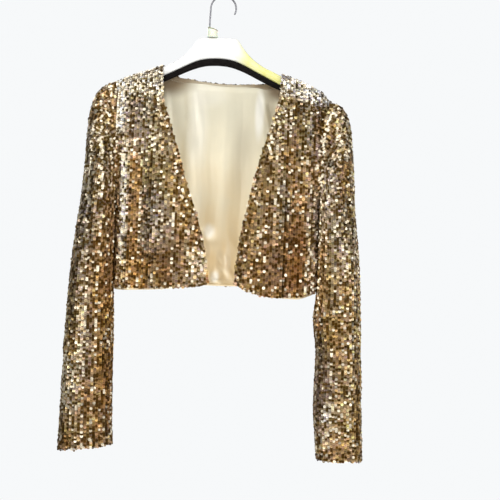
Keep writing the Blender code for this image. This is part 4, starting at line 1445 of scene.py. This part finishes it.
# %% Sow the sleeves
CUFF_RINGS = (-1, -4)
CUFF_ROW_RISE = 0.5
ARM_RADIUS = 38.0


def sow_sleeve(side, draw):
    """Sequins of one sleeve: rows down its length and two round the cuff."""
    grid, facing = ARMS[side], normals["sleeve_" + side]
    girth = ring_steps(grid).sum(axis=1)
    count = 2 * round(girth[CAP_RINGS:].mean() / ROW_PITCH / 2)
    lines, up, room = half_lines(grid, facing, count)
    lots = [lay_rows(lines, up, STEP_PITCH, draw, room)]
    for ring in CUFF_RINGS:
        line, around = (np.concatenate([item[ring], item[ring, :1]]) for item in (grid, facing))
        lots.append(edge_row(line, around, CUFF_ROW_RISE, draw))
    return join(*lots)


for number, side in enumerate(SIDES):
    draw = np.random.default_rng(SEED + 7 + number)
    lot = sow_sleeve(side, draw)
    middle = (SLEEVES[side]["inner"].mean() + SLEEVES[side]["outer"].mean()) / 2
    across = np.arctan2(lot["place"][:, 1], np.abs(lot["place"][:, 0]) - middle) * ARM_RADIUS
    sew_on("sleeve_" + side, lot, across, 70 + 10 * number, draw)

# %% [markdown]
# ## The satin lining and the neck band
# The lining hangs just inside the back, so it is the back's own surface moved in along its
# normals, with soft creases of its own. A narrow band of taupe tape covers its top edge along the
# neck, held by small stitches, and its lower edge is turned up into a thin shiny hem.

# %% Shape the lining
SATIN_WALL = 1.0
LAYER_GAP = 0.5
LINING_INSET = (CAD_CLOTH + SATIN_WALL) / 2 + LAYER_GAP
LINING_ROWS = 120
LINING_COLUMNS = slice(3, -3)
LINING_CROWDING = 1.2
LINING_UNDER_TAPE = 1.2
ARM_LINING_DROP = 13.0
BAND_LENGTH = 190.0
BAND_END = (-2, 3)
NECK_MIDDLE = (V_EDGE["right"][0] + V_EDGE["left"][0]) / 2
NORMAL_STEP = 0.4
LINING_CREASES = table(
    "x     z     long  wide  lean  proud",
    (-90, -205, 60, 9, 0.10, 2.8), (-45, -195, 62, 9, 0.16, 2.4), (-27, -320, 110, 12, 0.0, 2.6),
    (18, -240, 110, 13, 0.02, 1.0), (46, -310, 110, 14, 0.0, 2.4), (77, -188, 42, 6, 0.30, 2.8),
    (10, -147, 62, 4.5, 60, 2.0), (-16, -409, 17, 16, 0.5, 6.5), (20, -456, 17, 5.5, 0.75, 3.6),
    (20, -440, 10, 4, 0.31, 2.2), (4, -472, 14, 9, 1.2, 4.4), (33, -420, 30, 6, 0.5, 1.2),
)


def lining_points(x, z, behind):
    """The back's surface moved towards the wearer by behind, plus the lining's own creases.

    A crease is proud * exp(-(along / long)^2 - (beside / wide)^2), where along and beside are
    measured on axes that lean by lean from upright.
    """
    step = NORMAL_STEP
    across = body_points("back", x + step, z) - body_points("back", x - step, z)
    down = body_points("back", x, z - step) - body_points("back", x, z + step)
    inwards = unit(np.cross(down, across))
    inwards = np.where(inwards[..., 1:2] > 0, -inwards, inwards)
    proud = np.zeros_like(x)
    for crease in rows_of(LINING_CREASES):
        long_way = np.array([-crease["lean"], 1.0]) / math.hypot(crease["lean"], 1)
        off_x, off_z = x - crease["x"], z - crease["z"]
        along = off_x * long_way[0] + off_z * long_way[1]
        beside = off_x * long_way[1] - off_z * long_way[0]
        fade = (along / crease["long"]) ** 2 + (beside / crease["wide"]) ** 2
        proud = proud + crease["proud"] * np.exp(-fade)
    return body_points("back", x, z) + inwards * (behind + proud)[..., None], inwards


def add_layer(name, x, z, behind, thickness, finish, slot, *nodes):
    """Hang a wall behind the back at places x, z."""
    grid, inwards = lining_points(np.broadcast_to(x, z.shape), z, behind)
    return hang(add_wall(name, grid, -inwards, thickness, [finish]), slot, *nodes)


top_x = BACK[0, LINING_COLUMNS, 0]
share = (top_x - BACK[0, 0, 0]) / (BACK[0, -1, 0] - BACK[0, 0, 0])
half_band = BAND_LENGTH / 2
beyond_band = ease(np.abs(top_x - NECK_MIDDLE), half_band + BAND_END[0], half_band + BAND_END[1])
lining_top = back_top_z(top_x) - part_way(LINING_UNDER_TAPE, ARM_LINING_DROP, beyond_band)
lining_foot = back_hem_z(share)
down_share = np.linspace(0, 1, LINING_ROWS)[:, None] ** LINING_CROWDING
lining_z = part_way(lining_top, lining_foot, down_share)
lining_x = across_back(share, lining_z)
lining = add_layer("satin_lining", lining_x, lining_z, LINING_INSET, SATIN_WALL, SATIN,
                   "satin_lining", "back_lining")

# %% Turn up the lining's hem
HEM_HEIGHT = 4.2
HEM_LAP = 2.4
HEM_ROLL = 1.3
HEM_WALL = 0.6
HEM_ROWS = 9
SATIN_FACE = LINING_INSET + SATIN_WALL / 2
down_share = np.linspace(0, 1, HEM_ROWS)[:, None]
hem_roll = HEM_ROLL * np.sin(math.pi * down_share)
lining_hem = add_layer("lining_hem", lining_x[-1], lining_foot + HEM_LAP - HEM_HEIGHT * down_share,
                       SATIN_FACE + hem_roll, HEM_WALL, SATIN, "satin_lining")

# %% Bind the neck
BAND_COLUMNS = 150
BAND_ROWS = 8
BAND_OVER = 0.3
BAND_ROLL = 0.25
TAPE_WALL = 0.8
TAPE_GAP = 0.1
TAPE_INSET = SATIN_FACE + TAPE_WALL / 2 + TAPE_GAP
BAND_HEIGHT = table(
    "x    height",
    (-95, 9), (-72, 8), (-48, 4.5), (-20, 2.8), (38, 2.8), (60, 4.5), (80, 9), (102, 11),
)
band_x = np.linspace(NECK_MIDDLE - half_band, NECK_MIDDLE + half_band, BAND_COLUMNS)
down_share = np.linspace(0, 1, BAND_ROWS)[:, None]
band_height = smooth(BAND_HEIGHT, "height", band_x)
band_z = back_top_z(band_x) + BAND_OVER - (band_height + BAND_OVER) * down_share
band_roll = BAND_ROLL * np.sin(math.pi * down_share)
neck_tape = add_layer("neck_tape", band_x, band_z, TAPE_INSET + band_roll, TAPE_WALL, TAPE,
                      "neck_binding", "neck_band")

# %% Stitches
STITCH_SIDES = 6
STITCH = table("share  radius", (-0.5, 0.06), (-0.3, 0.2), (0.0, 0.26), (0.3, 0.2), (0.5, 0.06))
STITCH_STRAY = 0.06
STITCH_CAPS = [[0, 1, 2, 3], [0, 3, 4, 5], [27, 26, 25, 24], [29, 28, 27, 24]]
NECK_STITCH = {"rise": 0.9, "proud": 0.15, "length": 2.2, "pitch": 3.1}
HEM_STITCH = {"rise": 9.0, "proud": 0.12, "length": 2.4, "pitch": 3.6}


def add_stitches(name, x, z, behind, size, slot, seed):
    """Small raised stitches along a line: each a bead of six sides, pointed at both ends."""
    line, facing = lining_points(x, z, behind + size["proud"])
    draw = np.random.default_rng(seed)
    lot = lay_rows(line[None], facing[None], size["pitch"], draw)
    count = len(lot["place"])
    along = unit(lot["down"] + draw.normal(0, STITCH_STRAY, (count, 3)))
    aside = unit(np.cross(along, lot["normal"]))
    angle = (np.arange(STITCH_SIDES) * math.pi / 3)[None, None, :, None]
    round_way = np.cos(angle) * aside[:, None, None] + np.sin(angle) * lot["normal"][:, None, None]
    off = (STITCH["share"] * size["length"])[None, :, None]
    middle = lot["place"][:, None] + along[:, None] * off
    points = middle[:, :, None] + round_way * STITCH["radius"][None, :, None, None]
    number = np.arange(points[0, ..., 0].size).reshape(-1, STITCH_SIDES)
    cell = np.concatenate([grid_quads(number, around=True), STITCH_CAPS])[:, ::-1]
    quads = (np.arange(count)[:, None, None] * number.size + cell).reshape(-1, 4)
    return hang(add_piece(name, points.reshape(-1, 3), quads, [THREAD]), slot)


neck_stitches = add_stitches(
    "neck_stitches", band_x, back_top_z(band_x) - band_height + NECK_STITCH["rise"],
    TAPE_INSET + TAPE_WALL / 2, NECK_STITCH, "neck_binding", SEED + 20)
hem_stitches = add_stitches("hem_stitches", lining_x[-1], lining_foot + HEM_STITCH["rise"],
                            SATIN_FACE, HEM_STITCH, "satin_lining", SEED + 21)

# %% [markdown]
# ## The facings of the fronts
# Below the outer half of each front hem a sliver of cream satin shows: the lining hangs a
# millimetre or two lower than the sequined cloth. It is a narrow strip behind the hem whose drop
# follows a short table.

# %% Hang the slivers of lining
SLIVER = {
    "right": table("x  drop", (-166, 3.6), (-150, 4.2), (-128, 3.6), (-100, 2.8), (-70, 1.6),
                   (-30, -1.5)),
    "left": table("x  drop", (60, -1.5), (95, 0.8), (120, 2.4), (145, 4.0), (171, 3.6)),
}
SLIVER_ROWS = 7
SLIVER_RISE = 9.0
SLIVER_WALL = 0.7
SLIVER_BEHIND = CLOTH / 2 + 0.75


def add_sliver(side):
    """A strip behind the front's hem: from 9 mm above it to the drop below it."""
    grid, facing = FRONTS[side][-1, 2:-2], normals["front_" + side][-1, 2:-2]
    drop = smooth(SLIVER[side], "drop", grid[:, 0])
    rise = SLIVER_RISE - (SLIVER_RISE + drop) * np.linspace(0, 1, SLIVER_ROWS)[:, None]
    strip = grid[None] + rise[..., None] * UP - facing[None] * SLIVER_BEHIND
    facing = np.repeat(facing[None], SLIVER_ROWS, axis=0)
    wall = add_wall("front_lining_" + side, strip, facing, SLIVER_WALL, [SATIN])
    return hang(wall, "satin_lining")


slivers = {side: add_sliver(side) for side in SIDES}

# %% [markdown]
# ## The hanger
# The hanger is one moulded arch of glossy white plastic with a dark strip under it, a chrome wire
# hook, and a milky collar that holds the wire. Each is a section carried along a path: an oval
# section along the arch, a circle along the wire.

# %% Finishes of the hanger
PLASTIC_WHITE = (0.90, 0.90, 0.87)
# The yellow along one arm is a painted gold sheen.
PLASTIC_PAINTED_SHEEN = (0.74, 0.71, 0.20)
# The grey on faces that point up is painted shade along the top edge.
PLASTIC_EDGE_SHADE = (0.15, 0.155, 0.17)
PLASTIC_PATCH = 0.75
PLASTIC_CLOUDS, PLASTIC_DULL = 0.02, (0.14, 0.28)
SHEEN_REACH = (0.018, 0.045)
SHADED_SLOPE = (0.50, 0.90)
COLLAR_MILK = (0.84, 0.86, 0.70)
# The dark rim tone is painted shade of the collar's open top.
RIM_SHADE_TONE = (0.20, 0.21, 0.10)
MILK_SHADE = 0.9


def make_plastic():
    """Glossy white plastic with a painted gold sheen along one arm and painted shade where it faces
    up.
    """
    material, tree = new_material("white_plastic", PLASTIC_WHITE, roughness=0.2, Coat_Weight=0.3,
                                  Coat_Roughness=0.08)
    where = put(tree, "ShaderNodeTexCoord").outputs
    # A painted gold sheen along one arm, patchy with clouds.
    sheen_side = spread(tree, axis_of(tree, where["Object"], "X"), *SHEEN_REACH)
    clouds, dull = clouded(tree, where["Object"], PLASTIC_CLOUDS, PLASTIC_DULL)
    gold_sheen = maths(tree, "MULTIPLY", sheen_side, spread(tree, clouds, low=PLASTIC_PATCH))
    # Painted shade where the plastic faces up.
    shaded_top = spread(tree, axis_of(tree, where["Normal"], "Z"), *SHADED_SLOPE)
    tone = mix(tree, shaded_top, mix(tree, gold_sheen, PLASTIC_WHITE, PLASTIC_PAINTED_SHEEN), PLASTIC_EDGE_SHADE)
    return dress(material, tone, dull)


def make_milky(name, colour, dull):
    """Milky plastic that light enters a little way."""
    tones = (colour, tuple(MILK_SHADE * part for part in colour))
    return cloudy(name, tones, dull, size=0.006, Subsurface_Weight=0.25, Subsurface_Scale=0.004)


PLASTIC = make_plastic()
GRIP = cloudy("black_grip", ((0.004, 0.003, 0.003), (0.011, 0.009, 0.008)), dull=(0.6, 0.75),
              size=0.004, depth=0.0001, Specular_IOR_Level=0.04)
CHROME = cloudy("chrome_wire", ((0.13, 0.13, 0.14), (0.28, 0.28, 0.30)), dull=(0.12, 0.28),
                size=0.003, metallic=1.0)
MILKY = make_milky("milky_collar", COLLAR_MILK, dull=(0.17, 0.31))
# The collar's dark rim is painted shade of its open top.
COLLAR_RIM_SHADE = make_milky("collar_rim_shade", RIM_SHADE_TONE, dull=(0.27, 0.41))

# %% Carry sections along the arch
ARCH = {"tip": 178.0, "thickness": 11.0, "squareness": 2.8, "end_length": 6.0}
STRIP = {"tip": 174.0, "thickness": 10.0, "squareness": 5.0, "end_length": 4.0}
ARCH_RINGS, ARCH_CORNERS = 240, 48
SMALLEST_END = 0.0004
HANGER_EDGE = table(
    "reach  top     under   strip",
    (0, -68.7, -103.7, -115.4), (14, -68.7, -104.5, -116.2), (28, -68.9, -107, -119),
    (34, -73, -109, -121), (41, -83, -112, -123.5), (51.5, -95.5, -117, -128),
    (64, -106.4, -123.5, -134), (79.5, -115.9, -131, -141.5), (91, -121, -136.8, -146.6),
    (107.5, -128.6, -144.6, -153.2), (145, -142, -157.5, -165), (166, -151, -165, -171.5),
    (174, -155.5, -167.3, -173), (178, -160, -166.5, -174),
)


def add_tube(name, rings, finish, slot, *nodes):
    """Make a closed tube from rings of points (rows, columns, 3), its ends closed by fans."""
    rows, columns = rings.shape[:2]
    number = np.arange(rows * columns).reshape(rows, columns)
    after = np.roll(number, -1, axis=1)
    start = np.stack([after[0], number[0], np.full(columns, number.size)], axis=-1)
    end = np.stack([number[-1], after[-1], np.full(columns, number.size + 1)], axis=-1)
    faces = [part.tolist() for part in (grid_quads(number, around=True), start, end)]
    points = np.concatenate([rings.reshape(-1, 3), rings[[0, -1]].mean(axis=1)]) * MM
    mesh = bpy.data.meshes.new(name)
    mesh.from_pydata(points.tolist(), [], sum(faces, []))
    middle = rings[rows // 2].mean(axis=0) * MM
    face = mesh.polygons[(rows // 2) * columns]
    if face.normal.dot(face.center - Vector(middle)) < 0:
        mesh.flip_normals()
    mesh.materials.append(finish)
    mesh.shade_smooth()
    return hang(add_object(name, mesh), slot, *nodes)


def rounded(share):
    """Size of a tube near its round end: a quarter circle, sqrt(1 - (1 - share)^2)."""
    return np.sqrt(np.clip(1 - (1 - np.clip(share, 0, 1)) ** 2, SMALLEST_END, 1))


def arch_rings(upper, lower, inset, tip, thickness, squareness, end_length):
    """Rings along the arch: |y / a|^p + |z / b|^p = 1, drawn in to a rounded point at each end."""
    reach = tip * np.sin(np.linspace(-math.pi / 2, math.pi / 2, ARCH_RINGS))
    top = smooth(HANGER_EDGE, upper, np.abs(reach)) - inset
    under = smooth(HANGER_EDGE, lower, np.abs(reach)) + inset
    turn = np.linspace(0, 2 * math.pi, ARCH_CORNERS, endpoint=False)
    deep, high = squared_oval(turn, squareness)
    size = rounded((tip - np.abs(reach)) / end_length)[:, None]
    y = deep[None] * thickness / 2 * size
    z = ((top + under) / 2)[:, None] + high[None] * ((top - under) / 2)[:, None] * size
    x = np.broadcast_to((HANGER_X + reach)[:, None], y.shape)
    return np.stack([x, y, z], axis=-1)


add_tube("hanger_arch", arch_rings("top", "under", 0, **ARCH), PLASTIC, "hanger_plastic",
         "hanger_body")
add_tube("hanger_grip", arch_rings("under", "strip", SEAM_GAP, **STRIP), GRIP, "hanger_grip",
         "hanger_strip")

# %% Bend the wire
WIRE_RADIUS = 1.5
WIRE_RINGS, WIRE_CORNERS = 150, 20
HOOK_RADIUS = 21.0
HOOK_OPENING = 28.0
HOOK_POINTS = 90
WIRE_STEM = ((-22.0, -66.0), (-22.0, -49.0), (-21.6, -34.0))


def wire_rings():
    """Circles along the stem and the crook; the wire's way is read as x and z by length."""
    centre_z = -(HOOK_RADIUS - WIRE_RADIUS)
    angle = np.radians(np.linspace(180, -HOOK_OPENING, HOOK_POINTS))
    crook = np.stack([HOOK_RADIUS * np.cos(angle), centre_z + HOOK_RADIUS * np.sin(angle)], -1)
    route = np.vstack([np.array(WIRE_STEM), crook])
    way = {"run": lengths(route), "x": route[:, 0], "z": route[:, 1]}
    at = np.linspace(0, way["run"][-1], WIRE_RINGS)
    x, z = smooth(way, "x", at), smooth(way, "z", at)
    ahead = unit(np.stack([np.gradient(x), np.zeros_like(x), np.gradient(z)], axis=-1))
    aside = np.cross(ahead, [0, 1, 0])
    turn = np.linspace(0, 2 * math.pi, WIRE_CORNERS, endpoint=False)[None, :, None]
    radius = WIRE_RADIUS * rounded((way["run"][-1] - at) / WIRE_RADIUS)[:, None, None]
    ring = np.cos(turn) * aside[:, None] + np.sin(turn) * np.array([0, 1.0, 0])
    return np.stack([x, np.zeros_like(x), z], axis=-1)[:, None] + ring * radius


add_tube("hanger_wire", wire_rings(), CHROME, "hook_wire", "hanger_hook")

# %% Turn the collar
COLLAR_CENTRE_X = -16.5
COLLAR_RADIUS = 9.0
COLLAR_HEIGHT = 14.7
COLLAR_SLANT = 2.5
COLLAR_CORNERS = 64
COLLAR_FOOT = HANGER_EDGE["top"][0] + SEAM_GAP
COLLAR_PROFILE = table(
    "share  inset",
    (0.0, 1.0), (0.0, 0.25), (0.03, 0.0), (0.5, 0.28), (0.94, 0.56), (0.985, 0.8), (1.0, 1.3),
    (1.0, 7.0),
)
RIM_PROFILE = table("share  inset", (0.0, 1.6), (0.1, 0.42), (0.5, 0.3), (0.9, 0.42), (1.0, 1.6))
RIM_HEIGHTS = (0.86, 0.98)


def collar_rings(profile, low=0.0, high=1.0):
    """Rings of a slanted drum: z runs from the foot to a top that falls with x."""
    turn = np.linspace(0, 2 * math.pi, COLLAR_CORNERS, endpoint=False)
    radius = (COLLAR_RADIUS - profile["inset"])[:, None]
    x = COLLAR_CENTRE_X + radius * np.cos(turn)
    y = radius * np.sin(turn)
    top = COLLAR_FOOT + COLLAR_HEIGHT - COLLAR_SLANT * (x - COLLAR_CENTRE_X) / COLLAR_RADIUS
    share = part_way(low, high, profile["share"])[:, None]
    return np.stack([x, y, part_way(COLLAR_FOOT, top, share)], axis=-1)


add_tube("hanger_collar_drum", collar_rings(COLLAR_PROFILE), MILKY, "collar_plastic",
         "hanger_collar")
# A dark rim of painted shade round the collar's open top.
add_tube("collar_rim_shade", collar_rings(RIM_PROFILE, *RIM_HEIGHTS), COLLAR_RIM_SHADE, "collar_plastic")

# %% [markdown]
# ## The floor
# The fronts are cut from the neck point to the hem, the back from side to side, and a sleeve is
# one piece with its seam under the arm. Below them all lies a flat pale disc for a floor.


# %% Lay the floor
FLOOR_DROP = 1.95
FLOOR_RADIUS = 4.5
FLOOR_CELLS = 32
FLOOR_LIGHT = (0.90, 0.91, 0.92)
FLOOR_DARK = (0.86, 0.87, 0.88)
FLOOR_GLOW = 0.42
FLOOR_CLOUDS = 0.6


def add_floor():
    """A flat pale disc: a square grid drawn in by x * sqrt(1 - y^2 / 2), y * sqrt(1 - x^2 / 2)."""
    u, v = np.meshgrid(np.linspace(-1, 1, FLOOR_CELLS + 1), np.linspace(-1, 1, FLOOR_CELLS + 1))
    radius = FLOOR_RADIUS / MM
    x, y = radius * u * np.sqrt(1 - v * v / 2), radius * v * np.sqrt(1 - u * u / 2)
    points = np.stack([x, y, 0 * u - FLOOR_DROP / MM], axis=-1).reshape(-1, 3)
    material, tree = new_material("pale_floor", FLOOR_LIGHT, roughness=0.8,
                                  Emission_Strength=FLOOR_GLOW, Emission_Color=(*FLOOR_LIGHT, 1))
    clouds = effect(tree, CLOUDS, Vector=in_space(tree), Size=FLOOR_CLOUDS)
    dress(material, mix(tree, clouds, FLOOR_DARK, FLOOR_LIGHT))
    number = np.arange(u.size).reshape(u.shape)
    add_piece("floor", points, grid_quads(number), [material])


add_floor()
